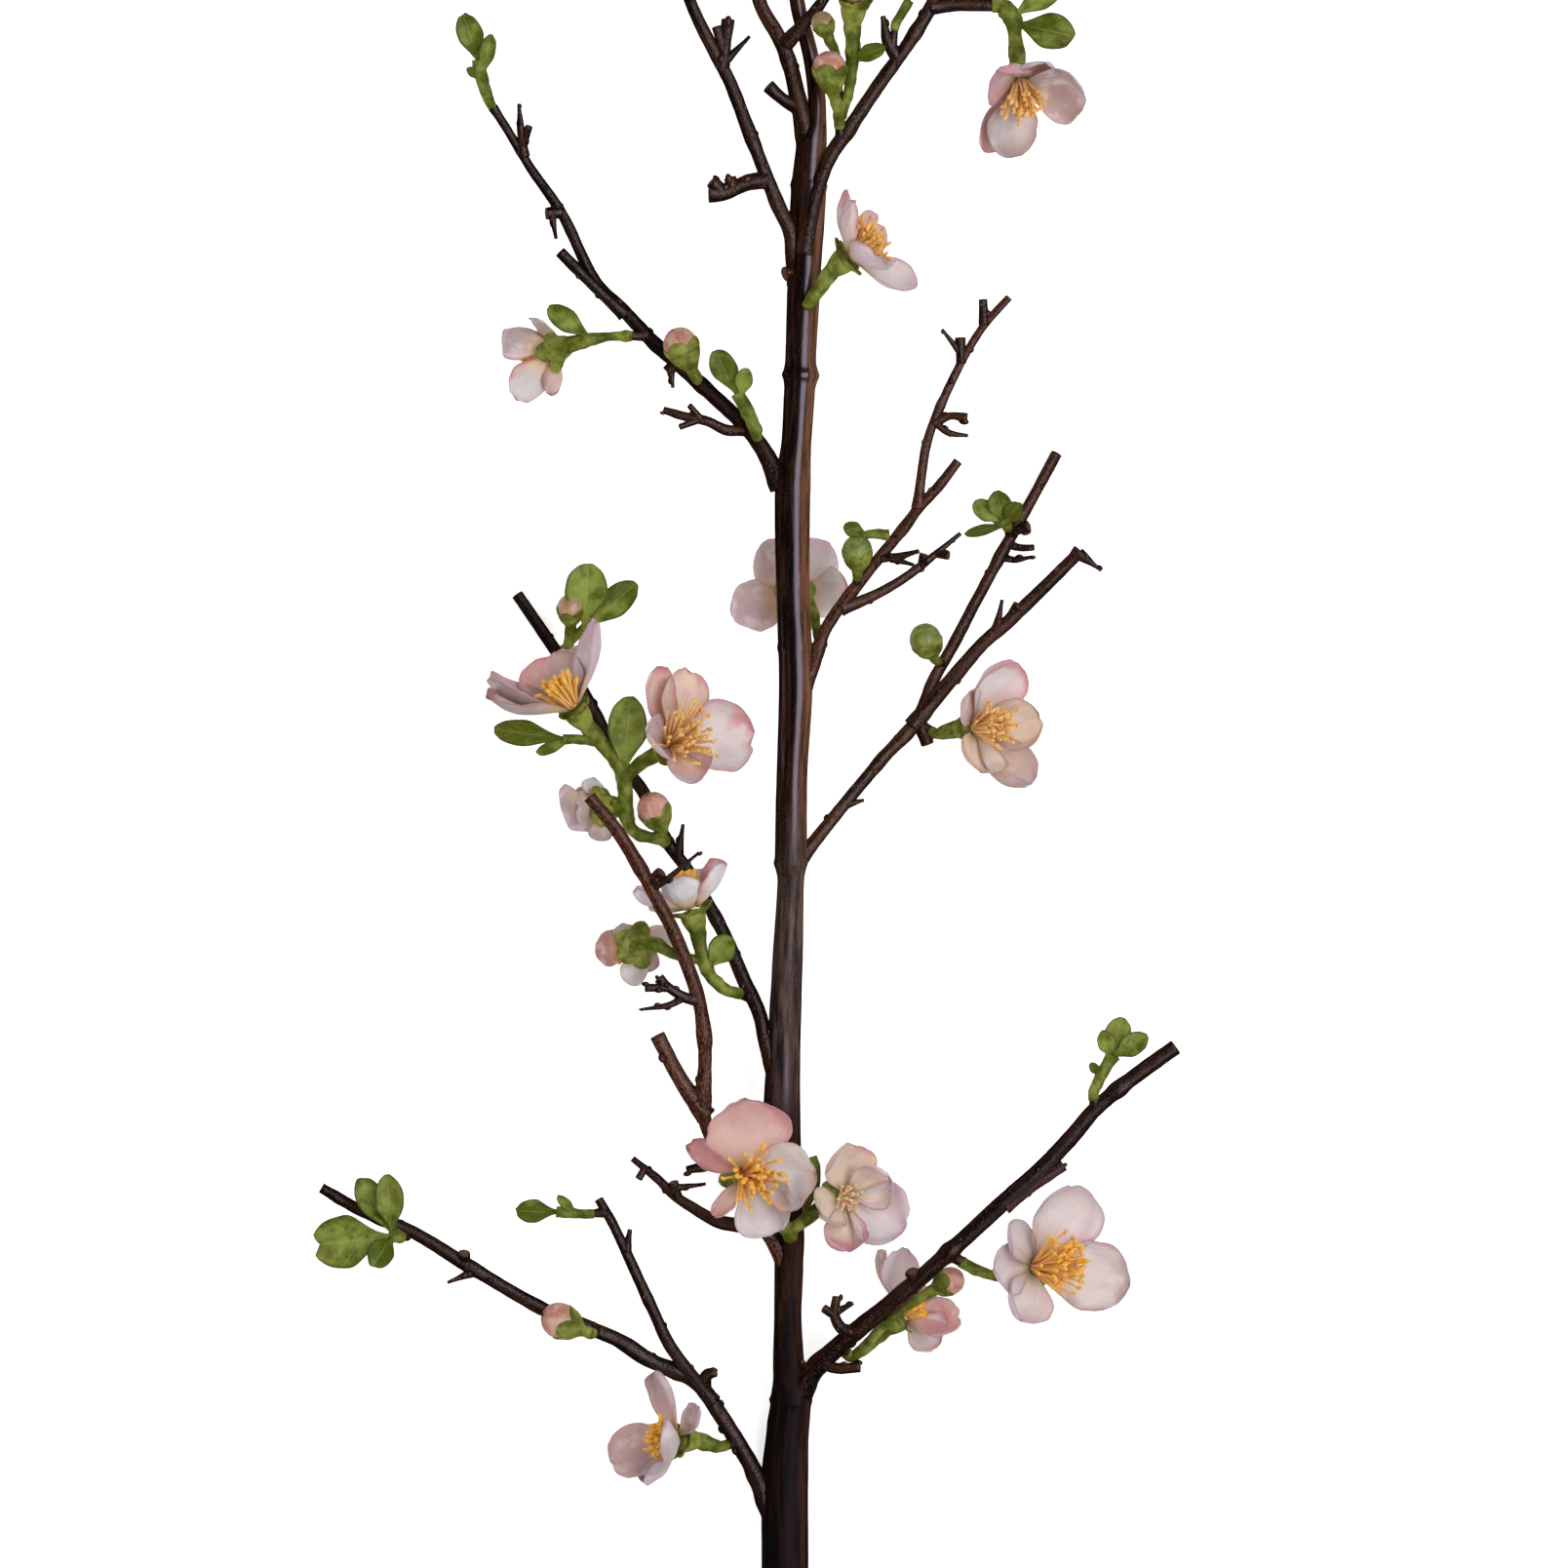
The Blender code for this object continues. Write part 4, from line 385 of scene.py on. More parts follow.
# Green sprigs. Each grows on a woody spur, given as its root, its end and its radius. The stalks
# are routes; a stalk that starts with None starts at the spur's end, a gap beyond it.
SPRIGS = {
    "sprig_01": dict(
        spur=((-30.5, 114.2, 24.8), (-36.0, 114.0, 26.0), 1.3),
        stalks=[[None, (-42.0, 113.8, 27.6, 1.1), (-48.5, 112.6, 29.4, 1.2), (1, "bloom")]],
        leaves=[Leaf((-47.5, 112.8, 29.4), (-61.0, 122.6, 31.5), 6.6)]),
    "sprig_02": dict(
        spur=((18.0, 122.5, 33.0), (19.2, 123.2, 39.0), 1.5),
        stalks=[[None, (20.4, 125.0, 41.0, 1.3), (2, "bloom")]], leaves=[]),
    "sprig_03": dict(
        spur=None, tip_of="top_right_arm",
        stalks=[[None, (79.0, 213.6, 42.6, 2.3), (81.6, 210.5, 42.4, 2.3), (82.3, 206.0, 42.0, 1.6),
                 (3, "bloom")]],
        leaves=[Leaf((82.0, 209.0, 42.4), (100.6, 204.6, 45.5), 10.5),
                Leaf((81.6, 211.0, 42.6), (97.4, 222.0, 46.0), 8.0)]),
    "sprig_04": dict(
        spur=((22.9, 19.0, 30.7), (22.5, 21.0, 25.6), 1.4),
        stalks=[[None, (21.6, 24.5, 23.4, 1.2), (19.6, 30.0, 23.4, 1.3), (4, "bloom")]], leaves=[]),
    "sprig_05_06_07": dict(
        spur=((-24.4, -42.0, 13.4), (-25.5, -41.5, 19.5), 1.5),
        stalks=[[None, (-28.5, -40.8, 22.3, 1.5), (-34.5, -38.8, 23.5, 1.5), (-37.0, -34.0, 24.0, 1.8),
                 (-37.3, -26.0, 25.0, 1.9), (-38.2, -20.0, 26.0, 2.0), (-42.0, -14.5, 27.4, 1.8),
                 (5, "bloom")],
                [(-37.5, -22.5, 25.6, 1.4), (-32.5, -17.6, 26.2, 1.4), (6, "bloom")],
                [(-37.1, -30.5, 24.5, 1.2), (7, "bloom")],
                [(-28.8, -40.7, 22.3, 1.2), (4, "bud")],
                [(-44.5, -11.5, 28.2, 1.2), (-50.0, -10.4, 28.6, 1.0), (-56.5, -10.2, 29.0, 0.9)]],
        leaves=[Leaf((-37.8, -22.0, 25.8), (-35.8, 3.2, 30.0), 11.4),
                Leaf((-55.0, -10.2, 29.0), (-77.8, -7.2, 30.5), 7.6),
                Leaf((-54.0, -10.2, 29.0), (-64.5, -14.5, 29.5), 3.6)]),
    "sprig_bud_03": dict(
        spur=((-58.8, 16.6, 5.2), (-56.0, 18.0, 11.0), 1.3),
        stalks=[[None, (-54.8, 20.0, 13.6, 1.4), (3, "bud")],
                [(-54.8, 19.8, 13.4, 1.1), (-49.5, 24.5, 15.8, 1.1)]],
        leaves=[Leaf((-50.2, 23.8, 15.5), (-48.7, 44.2, 20.0), 12.6),
                Leaf((-50.2, 23.8, 15.5), (-34.0, 38.1, 18.5), 8.5)]),
    "sprig_08_09": dict(
        spur=((1.2, -89.5, 20.2), (-2.5, -88.5, 24.6), 1.4),
        stalks=[[None, (-6.0, -87.6, 26.0, 1.5), (-11.2, -82.8, 26.2, 1.6), (-13.9, -75.5, 26.3, 1.7),
                 (8, "bloom")],
                [(-13.4, -78.5, 26.2, 1.2), (-21.5, -76.8, 26.4, 1.1), (-28.0, -73.4, 26.8, 1.2),
                 (9, "bloom")]],
        leaves=[Leaf((-12.0, -81.0, 26.2), (-4.8, -70.8, 28.0), 8.0)]),
    "sprig_10_11": dict(
        spur=((13.5, -163.5, 17.0), (13.5, -163.3, 22.8), 1.8),
        stalks=[[None, (12.9, -162.0, 24.8, 1.9), (8.5, -156.0, 25.2, 1.5), (3.6, -148.6, 23.6, 1.4),
                 (10, "bloom")],
                [(13.2, -162.0, 24.8, 1.5), (18.6, -158.0, 25.2, 1.3), (11, "bloom")]],
        leaves=[Leaf((17.6, -158.8, 25.2), (21.0, -138.5, 26.5), 5.6)]),
    "sprig_12": dict(
        spur=((62.2, -168.6, 27.4), (66.6, -171.4, 26.4), 1.5),
        stalks=[[None, (71.0, -173.8, 25.2, 1.4), (77.5, -175.8, 23.8, 1.2), (84.5, -175.4, 22.2, 1.2),
                 (12, "bloom")]],
        leaves=[]),
    "sprig_13": dict(
        spur=((29.0, -197.2, 17.4), (30.8, -200.0, 13.4), 1.4),
        stalks=[[None, (32.6, -201.4, 11.2, 1.3), (36.8, -198.4, 11.4, 1.3), (13, "bloom")],
                [(36.0, -199.2, 11.3, 1.0), (39.0, -195.6, 16.5, 0.9), (46.5, -187.5, 19.5, 0.9),
                 (8, "bud")]],
        leaves=[]),
    "sprig_14": dict(
        spur=((-2.6, -227.6, 10.8), (-6.5, -228.6, 14.0), 1.4),
        stalks=[[None, (-9.8, -228.6, 15.9, 1.3), (14, "bloom")]], leaves=[]),
    "sprig_15": dict(
        spur=((53.4, -5.6, 19.4), (57.4, -7.8, 20.8), 1.3),
        stalks=[[None, (60.4, -8.2, 21.3, 1.3), (15, "bloom")]], leaves=[]),
    "sprig_top": dict(
        spur=((29.3, 173.8, 38.0), (28.7, 177.8, 39.4), 1.4),
        stalks=[[None, (28.6, 180.6, 40.4, 1.6), (31.6, 189.0, 40.8, 1.3), (32.6, 200.0, 42.0, 1.4),
                 (16, "bloom")],
                [(28.7, 180.4, 40.4, 1.3), (27.8, 184.0, 42.0, 1.4), (2, "bud")],
                [(28.8, 181.0, 40.4, 0.9), (28.6, 188.0, 38.4, 0.9), (28.2, 198.0, 39.0, 0.9),
                 (9, "bud")]],
        leaves=[Leaf((31.5, 197.5, 42.0), (42.6, 201.6, 45.0), 5.0)]),
    "sprig_top_right": dict(
        spur=((44.6, 201.4, 41.2), (45.6, 207.6, 42.6), 1.1),
        stalks=[[None, (48.0, 212.5, 43.4, 1.0), (50.0, 216.0, 43.8, 0.9)]],
        leaves=[Leaf((49.6, 215.2, 43.7), (53.0, 228.0, 45.5), 6.0)]),
    "sprig_bud_01": dict(
        spur=((-14.8, 99.4, 27.2), (-15.2, 100.6, 31.0), 1.4),
        stalks=[[None, (-15.6, 101.4, 32.4, 1.5), (1, "bud")]], leaves=[]),
    "sprig_bud_05": dict(
        spur=((34.1, 37.5, 33.5), (34.1, 39.6, 36.2), 1.2),
        stalks=[[None, (34.1, 41.0, 37.2, 1.4), (5, "bud")],
                [(33.8, 50.0, 40.8, 1.1), (37.4, 52.5, 40.4, 1.0), (43.6, 52.4, 39.0, 1.0)]],
        leaves=[Leaf((37.0, 52.2, 40.4), (29.9, 55.2, 42.0), 4.6)]),
    "sprig_bud_06": dict(
        spur=((60.6, 13.0, 15.9), (58.9, 14.0, 18.4), 1.2),
        stalks=[[None, (6, "bud")]], leaves=[]),
    "sprig_bud_07": dict(
        spur=((-46.5, -192.8, 19.3), (-47.6, -193.2, 24.0), 1.4),
        stalks=[[None, (-48.2, -193.2, 25.2, 1.5), (7, "bud")]], leaves=[]),
    "sprig_bud_10": dict(
        spur=((82.0, 53.0, 8.2), (80.8, 55.4, 11.6), 1.2),
        stalks=[[None, (80.2, 56.6, 12.6, 1.6), (79.4, 58.2, 13.2, 1.9)]],
        leaves=[Leaf((79.6, 56.6, 12.8), (70.2, 63.2, 14.6), 6.0),
                Leaf((79.6, 56.6, 12.8), (77.0, 66.6, 16.4), 7.0),
                Leaf((79.6, 56.6, 12.8), (84.6, 62.8, 17.0), 5.6),
                Leaf((80.2, 56.2, 12.6), (67.6, 53.2, 13.6), 3.2)]),
    "leaf_sprig_01": dict(
        spur=None, tip_of="upper_left",
        stalks=[[None, (-79.6, 187.4, 25.9, 1.4), (-81.6, 193.8, 27.0, 1.4), (-82.4, 199.0, 27.8, 1.3)]],
        leaves=[Leaf((-82.0, 197.4, 27.5), (-87.1, 212.9, 30.0), 7.5),
                Leaf((-81.4, 194.0, 27.0), (-78.4, 206.6, 30.2), 4.8),
                Leaf((-81.2, 193.0, 26.9), (-86.0, 196.4, 28.6), 2.8)]),
    "leaf_sprig_02": dict(
        spur=((3.6, 81.0, 29.6), (3.2, 83.0, 33.6), 1.4),
        stalks=[[None, (2.9, 84.6, 34.8, 1.5), (0.8, 89.5, 35.4, 1.5), (-2.8, 96.0, 36.0, 1.2)]],
        leaves=[Leaf((-2.4, 95.0, 36.0), (-9.7, 109.2, 38.5), 7.6),
                Leaf((-1.8, 94.5, 35.9), (0.0, 103.6, 39.0), 5.2)]),
    "leaf_sprig_09": dict(
        spur=((-105.0, -163.0, 24.0), (-106.4, -163.4, 28.4), 1.4),
        stalks=[[None, (-107.4, -163.2, 29.6, 1.6), (-109.4, -162.4, 30.2, 1.7)]],
        leaves=[Leaf((-108.6, -162.6, 30.0), (-119.0, -145.0, 33.0), 8.4),
                Leaf((-108.6, -162.6, 30.0), (-110.2, -143.8, 36.0), 8.4),
                Leaf((-108.6, -162.8, 30.0), (-133.4, -165.8, 32.0), 15.5, notch=2.2),
                Leaf((-108.6, -162.8, 30.0), (-115.0, -172.2, 34.5), 7.6)]),
    "leaf_sprig_10": dict(
        spur=((-43.2, -155.8, 28.8), (-47.6, -156.2, 29.6), 1.2),
        stalks=[[None, (-51.5, -156.2, 30.0, 1.1), (-58.5, -155.6, 30.4, 1.0)]],
        leaves=[Leaf((-57.4, -155.6, 30.4), (-70.8, -155.2, 31.2), 6.8),
                Leaf((-52.5, -156.0, 30.1), (-58.0, -150.6, 32.6), 3.0)]),
    "leaf_sprig_11": dict(
        spur=((107.3, -123.9, 33.2), (106.8, -120.2, 34.4), 1.4),
        stalks=[[None, (107.4, -117.0, 35.2, 1.3), (110.0, -111.6, 36.2, 1.3),
                 (112.6, -107.2, 37.0, 1.2)]],
        leaves=[Leaf((112.0, -108.0, 36.8), (115.4, -95.6, 38.0), 7.4),
                Leaf((112.0, -108.0, 36.8), (123.0, -101.0, 40.0), 6.6),
                Leaf((112.0, -108.0, 36.8), (109.2, -99.6, 40.5), 5.2),
                Leaf((108.8, -113.6, 35.8), (105.6, -109.6, 37.4), 2.8)]),
}


# How red-brown the bark is, from 0 for near black to 1: of each branch, with how thick it is drawn
# against its CAD tube, then of the stem, of its bud scars and of the twigs
BRANCH_LOOKS = {
    "upper_left": (0.14, 1.18), "upper_left_stub": (0.08, 1.15), "top_left": (0.3, 1.25),
    "top_middle": (0.35, 1.2), "top_right": (0.3, 1.18), "top_right_arm": (0.25, 1.1),
    "right_upper": (0.8, 0.93), "right_upper_shoot": (0.7, 1.08), "right_upper_twig": (0.4, 1.4),
    "right_lower": (0.5, 0.97), "right_lower_fork": (0.4, 1.18), "left_back": (0.15, 1.12),
    "left_front": (0.95, 1.14), "left_front_stub": (1.05, 1.34), "left_front_twig": (0.3, 1.6),
    "left_lower": (0.18, 1.25), "left_lower_fork": (0.1, 1.2), "right_base": (0.15, 1.2),
    "right_base_stub": (0.5, 1.25),
}
STEM_TONE = 0.14
STEM_LUMP_TONE = 0.12
TWIG_TONE = 0.32
# The rings on a cut end: each one's share of the radius, how far it stands out and how pale it is
CUT_ENDS = ((0.9, 0.05, 0.5), (0.72, 0.08, 1.0))
# How matt the small lumps on the bark are
LUMP_DULLNESS = 0.3
# The colours of petals, and for each petal of a bloom its body's colour and its rim's
PETAL_COLOURS = {
    "white": (0.79, 0.745, 0.765),
    "lilac": (0.73, 0.56, 0.64),
    "cream": (0.85, 0.68, 0.55),
    "blush": (0.83, 0.57, 0.53),
    "pink": (0.74, 0.33, 0.38),
    "salmon": (0.83, 0.46, 0.34),
    "grey": (0.50, 0.40, 0.41),
    "taupe": (0.62, 0.48, 0.42),
    "dusk": (0.38, 0.15, 0.12),
}
PETAL_TINTS = {
    1: ("grey lilac", "white pink", "blush dusk", "cream blush", "grey lilac"),
    2: ("white pink", "blush lilac", "white lilac", "lilac grey", "lilac blush"),
    3: ("grey lilac", "white grey", "white pink", "lilac pink", "grey lilac"),
    4: ("grey taupe", "grey lilac", "white lilac", "white blush", "white cream"),
    5: ("white lilac", "lilac grey", "taupe pink", "grey dusk", "taupe blush"),
    6: ("blush pink", "cream pink", "white pink", "blush lilac", "taupe lilac"),
    7: ("white grey", "grey lilac", "grey taupe", "taupe grey", "taupe lilac"),
    8: ("white lilac", "white white", "white pink", "white lilac", "lilac blush"),
    9: ("dusk pink", "white blush", "white taupe", "grey dusk", "grey dusk"),
    10: ("blush pink", "white salmon", "white white", "blush pink", "pink dusk"),
    11: ("cream blush", "cream lilac", "white lilac", "cream pink", "cream taupe"),
    12: ("white lilac", "white grey", "white lilac", "white lilac", "white lilac"),
    13: ("white lilac", "taupe grey", "white pink", "pink blush", "pink cream"),
    14: ("lilac grey", "grey lilac", "white grey", "taupe lilac", "grey grey"),
    15: ("white pink", "cream taupe", "taupe grey", "cream salmon", "lilac blush"),
    16: ("cream pink", "blush pink", "cream pink", "taupe pink", "blush pink"),
}
# How crumpled the petals of a bloom are, where they aren't as usual
PETAL_CRUMPLES = {1: 1.3, 5: 1.4, 10: 2.0, 11: 1.9, 13: 1.5, 14: 1.3}
# How far some petals turn their faces up from where their bloom faces, and how wide some are
PETAL_UPTURNS = {(13, 0): 1.2, (13, 2): 1.0, (13, 3): 0.8}
PETAL_WIDTHS = {(7, 1): 1.35, (7, 2): 0.8, (7, 4): 0.8, (10, 3): 0.8, (10, 4): 0.8, (13, 1): 0.6}
# How deep the painted shade towards the throat of each bloom is, from 0 to 1
PETAL_THROAT_SHADES = {1: 0.25, 2: 0.15, 3: 0.3, 4: 0.2, 5: 0.3, 6: 0.05, 7: 0.4, 8: 0.1, 9: 0.4, 10: 0.25,
                11: 0.2, 12: 0.12, 13: 0.15, 14: 0.35, 15: 0.1, 16: 0.3}
# How pink each bud's petals are, from 0 for green to 1
BUD_TINTS = {1: 0.85, 2: 1.0, 3: 0.7, 4: 1.0, 5: 0.0, 6: 0.0, 7: 0.9, 8: 0.95, 9: 0.35}
# How pale and peach-coloured the stamens of some blooms are
PALE_STAMENS = {2: 0.2, 3: 0.25, 6: 0.3, 11: 0.85, 15: 0.3}
# How long a bloom's stamens are, where they aren't of the usual length
STAMEN_SCALES = {5: 0.65, 6: 1.1, 10: 1.08, 11: 0.5, 12: 1.1, 13: 0.5, 14: 0.68}
# How many stamens a bloom has, and where they are fewer
STAMEN_COUNT = 60
FEW_STAMENS = {11: 26}
# The turn from one stamen to the next, which spreads them evenly
GOLDEN_ANGLE = 2.39996
# The way that the stamens of some blooms are swept to one side
STAMEN_SWEEPS = {10: (0.35, -0.15, 0.0), 12: (0.4, 0.05, 0.0)}
# How much longer than usual the cup of a bud is
CUP_GROWTHS = {1: 0.55, 2: 0.5}
# How far a calyx lobe reaches from the bell
LOBE_REACH = 4.3
# How much wider a stalk that ends in leaves grows towards them
LEAFY_FLARE = 0.4
# How much thicker the bark of a twig is than its wood
TWIG_SWELL = 1.42
# Where the raised rings on the stem are, along Y
STEM_RINGS = (-214.8, -48.3, 18.0, 101.7, 160.0)
# How far the surface reaches and how much it glows, the sky's strength at its rim and overhead, and
# the lights: name, place in metres, power, width and length
SURFACE_REACH = 3.0
FLOOR_GLOW = 0.68
SKY_RIM = 0.35
SKY_TOP = 0.22
LIGHTS = (("key", (0.72, 0.0, 1.4), 17.0, 0.9, 1.8), ("fill", (-0.9, 0.0, 1.2), 7.0, 0.5, 1.5))


def placed(name, data):
    """A new object with this data, in the scene."""
    thing = bpy.data.objects.new(name, data)
    bpy.context.scene.collection.objects.link(thing)
    return thing


def circle(sides):
    """The cosine and sine of each of some evenly spaced turns."""
    turns = [2 * math.pi * index / sides for index in range(sides)]
    return [(math.cos(turn), math.sin(turn)) for turn in turns]


class Skin:
    """The points, faces and per-point values of one visible piece, in millimetres."""

    def __init__(self):
        self.points = []
        self.faces = []
        self.values = {}

    def add(self, point, **values):
        """One point with its values; gives its index."""
        index = len(self.points)
        self.points.append(Vector(point) * MM)
        for key, value in values.items():
            self.values.setdefault(key, {})[index] = value
        return index

    def ring(self, points, **values):
        """Some points that share their values; gives their indices."""
        return [self.add(point, **values) for point in points]

    def bridge(self, low, high):
        """Faces between two closed rings of points."""
        count = len(low)
        for index in range(count):
            after = (index + 1) % count
            self.faces.append((low[index], low[after], high[after], high[index]))

    def close(self, rings):
        """A closed tube through rings of points, with a face over each end."""
        for low, high in zip(rings, rings[1:]):
            self.bridge(low, high)
        self.faces.append(tuple(reversed(rings[0])))
        self.faces.append(tuple(rings[-1]))

    def finish(self, name, material, nodes):
        """The piece as an object that stands for its nodes."""
        mesh = bpy.data.meshes.new(name)
        mesh.from_pydata(self.points, [], self.faces)
        mesh.polygons.foreach_set("use_smooth", [True] * len(mesh.polygons))
        for key, known in self.values.items():
            sample = next(iter(known.values()))
            if isinstance(sample, float):
                layer = mesh.attributes.new(key, "FLOAT", "POINT")
                layer.data.foreach_set("value", [known.get(i, 0.0) for i in range(len(self.points))])
            else:
                layer = mesh.attributes.new(key, "FLOAT_VECTOR", "POINT")
                flat = []
                for index in range(len(self.points)):
                    flat.extend(known.get(index, (0.0, 0.0, 0.0)))
                layer.data.foreach_set("vector", flat)
        mesh.validate()
        mesh.update()
        mesh.materials.append(material)
        thing = placed(name, mesh)
        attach(thing, "root")
        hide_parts(*nodes)
        return thing


def smooth_path(route, step):
    """Points (place, radius, distance) every step along a smooth curve through the route."""
    places = [Vector(point[:3]) for point in route]
    radii = [point[3] for point in route]
    ghosts = [places[0] * 2 - places[1]] + places + [places[-1] * 2 - places[-2]]
    found = []
    travelled = 0.0
    for leg in range(len(places) - 1):
        before, here, there, after = ghosts[leg:leg + 4]
        length = (there - here).length
        parts = max(2, math.ceil(length / step))
        slope_here = (there - before) * (length / max((there - before).length, length))
        slope_there = (after - here) * (length / max((after - here).length, length))
        for part in range(parts + (leg == len(places) - 2)):
            share = part / parts
            square, cube = share ** 2, share ** 3
            place = (here * (2 * cube - 3 * square + 1) + slope_here * (cube - 2 * square + share)
                     + there * (3 * square - 2 * cube) + slope_there * (cube - square))
            ease = 3 * square - 2 * cube
            radius = radii[leg] * (1 - ease) + radii[leg + 1] * ease
            found.append((place, radius, travelled + length * share))
        travelled += length
    return found


def framed(path):
    """Two cross directions at each point of a path, carried along without twist."""
    frames = []
    side = None
    for index, (place, _, _) in enumerate(path):
        ahead = path[min(index + 1, len(path) - 1)][0]
        back = path[max(index - 1, 0)][0]
        along = (ahead - back).normalized()
        if side is None:
            side = along.orthogonal().normalized()
        side = (side - along * side.dot(along)).normalized()
        frames.append((side, along.cross(side), along))
    return frames


def wood_tube(skin, route, tone, seed, sides, step, rough, knots, collar=0.0, stem=False):
    """A length of bark: a round tube with faint ribs and knots, wider at its root by a share."""
    path = smooth_path(route, step)
    frames = framed(path)
    shift = seed * 37.7
    rings = []
    for (place, radius, gone), (side, cross, _) in zip(path, frames):
        grown = radius * (1 + collar * math.exp(-gone / (2.2 * radius + 0.5)))
        grown *= 1 + knots * max(0.0, noise.noise((gone * 0.11, shift, 0.0))) ** 2
        if stem:
            grown *= 1 + sum(0.07 * math.exp(-((place.y - level) / 1.1) ** 2) for level in STEM_RINGS)
        ring = []
        for around, over in circle(sides):
            ribs = noise.noise((around * 1.6, over * 1.6, gone * 0.05 + shift))
            grain = noise.noise((around * 3.2, over * 3.2, gone * 0.35 + shift + 9.0))
            size = grown * (1 + rough * (ribs + 0.5 * grain))
            outward = side * around + cross * over
            looks = stem_looks(tone, place, outward) if stem else plain_looks(tone)
            ring.append(skin.add(place + outward * size, cut=0.0, **looks,
                                 grain=(around * radius, over * radius, gone + shift)))
        rings.append(ring)
    for low, high in zip(rings, rings[1:]):
        skin.bridge(low, high)
    for index, outward in ((0, -1), (-1, 1)):
        place, radius, gone = path[index]
        side, cross, along = frames[index]
        last = rings[index]
        for inset, out, paleness in CUT_ENDS:
            inner = []
            for around, over in circle(sides):
                spot = place + (side * around + cross * over) * radius * inset + along * outward * out
                inner.append(skin.add(spot, grain=(around * radius, over * radius, gone + shift),
                                      tone=float(tone), cut=paleness))
            pair = (last, inner) if outward > 0 else (inner, last)
            skin.bridge(*pair)
            last = inner
        skin.faces.append(tuple(last if outward > 0 else reversed(last)))


def wood_lumps(skin, route, tone, seed, spacing, size):
    """Small bud scars and bumps along a length of bark, each sunk half way in."""
    rng = random.Random(seed)
    path = smooth_path(route, LUMP_STEP)
    frames = framed(path)
    due = spacing * rng.uniform(0.3, 1.0)
    for (place, radius, gone), (side, cross, along) in zip(path, frames):
        if gone < due:
            continue
        due += spacing * rng.uniform(0.5, 1.5)
        turn = rng.uniform(0, 2 * math.pi)
        outward = side * math.cos(turn) + cross * math.sin(turn)
        over = along.cross(outward)
        axes = Matrix((outward, over, along)).transposed().to_4x4()
        grown = size * (radius ** 0.5) * rng.uniform(0.7, 1.3)
        placing = Matrix.Translation(place + outward * (radius * 0.92)) @ axes
        ball(skin, placing, (grown, grown * 0.95, grown * 1.5), *LUMP_GRID,
             grain=(turn * 3.0, gone, float(seed)), cut=0.0, **plain_looks(tone, LUMP_DULLNESS))


def slope(value, low, high):
    """A value's way from low to high, held between 0 and 1."""
    return min(1.0, max(0.0, (value - low) / (high - low)))


def plain_looks(tone, dull=0.0):
    """What a point of plain bark looks like."""
    return dict(tone=float(tone), warm=0.0, worn=0.0, dull=dull)


def stem_looks(tone, place, outward):
    """What a point of the stem's bark looks like, from its place and the way that its side faces."""
    level = place.y
    # Grey wear along one stretch below its middle, kept off its left side: painted shade there, which
    # stays dark
    stretch = slope(level, -128.0, -100.0) * slope(level, -28.0, -52.0)
    worn = stretch * (0.2 + 0.8 * slope(outward.x, -0.8, 0.15))
    # Matt there and at its foot, and near black at its foot
    dull = max(0.75 * stretch, slope(level, -108.0, -130.0))
    tone = tone * (1 - slope(level, -185.0, -212.0))
    # Orange-brown on its right side, most from its middle up: partly bark colour, partly painted key
    # light
    upper = slope(level, -70.0, -10.0) * slope(level, 260.0, 200.0)
    warm = max(upper, 0.12 * slope(level, -70.0, -100.0)) * slope(outward.x, 0.25, 0.75)
    return dict(tone=tone, warm=warm, worn=worn, dull=dull)


def stem_girth(level):
    """How thick the stem is drawn against its CAD tube: a little above its foot, most near its top."""
    middle = 0.065 * slope(level, -195.0, -165.0)
    upper = 0.05 * slope(level, 78.0, 90.0) + 0.08 * slope(level, 125.0, 150.0)
    return 1 + middle + upper * slope(level, 184.0, 170.0)


def bark_pieces(glossy, material):
    """The stem, the branches and the twigs, each with its small lumps."""
    stem = Skin()
    route = [(*point[:3], point[3] * stem_girth(point[1])) for point in STEM]
    wood_tube(stem, route, STEM_TONE, SEEDS["stem"], stem=True, **STEM_BARK)
    wood_lumps(stem, route, STEM_LUMP_TONE, SEEDS["stem_lumps"], **STEM_LUMPS)
    stem.finish("bark_stem", glossy, ["branch_wood"])
    limbs = Skin()
    for number, (name, thin) in enumerate(BRANCHES.items()):
        tone, girth = BRANCH_LOOKS[name]
        route = [(*point[:3], point[3] * girth) for point in thin]
        wood_tube(limbs, route, tone, SEEDS["branch"] + number, **BRANCH_BARK)
        wood_lumps(limbs, route, tone, SEEDS["branch_lumps"] + number, **BRANCH_LUMPS)
    limbs.finish("bark_branches", material, ["branch_wood"])
    twigs = Skin()
    for number, thin in enumerate(TWIGS):
        route = [(*point[:3], point[3] * TWIG_SWELL) for point in thin]
        wood_tube(twigs, route, TWIG_TONE, SEEDS["twig"] + number, **TWIG_BARK)
        wood_lumps(twigs, route, TWIG_TONE, SEEDS["twig_lumps"] + number, **TWIG_LUMPS)
    for number, plan in enumerate(SPRIGS.values()):
        if plan["spur"]:
            root, end, radius = plan["spur"]
            route = [(*root, radius * 1.2), (*end, radius)]
            wood_tube(twigs, route, TWIG_TONE, SEEDS["spur"] + number, **SPUR_BARK)
    twigs.finish("bark_twigs", material, ["branch_wood"])


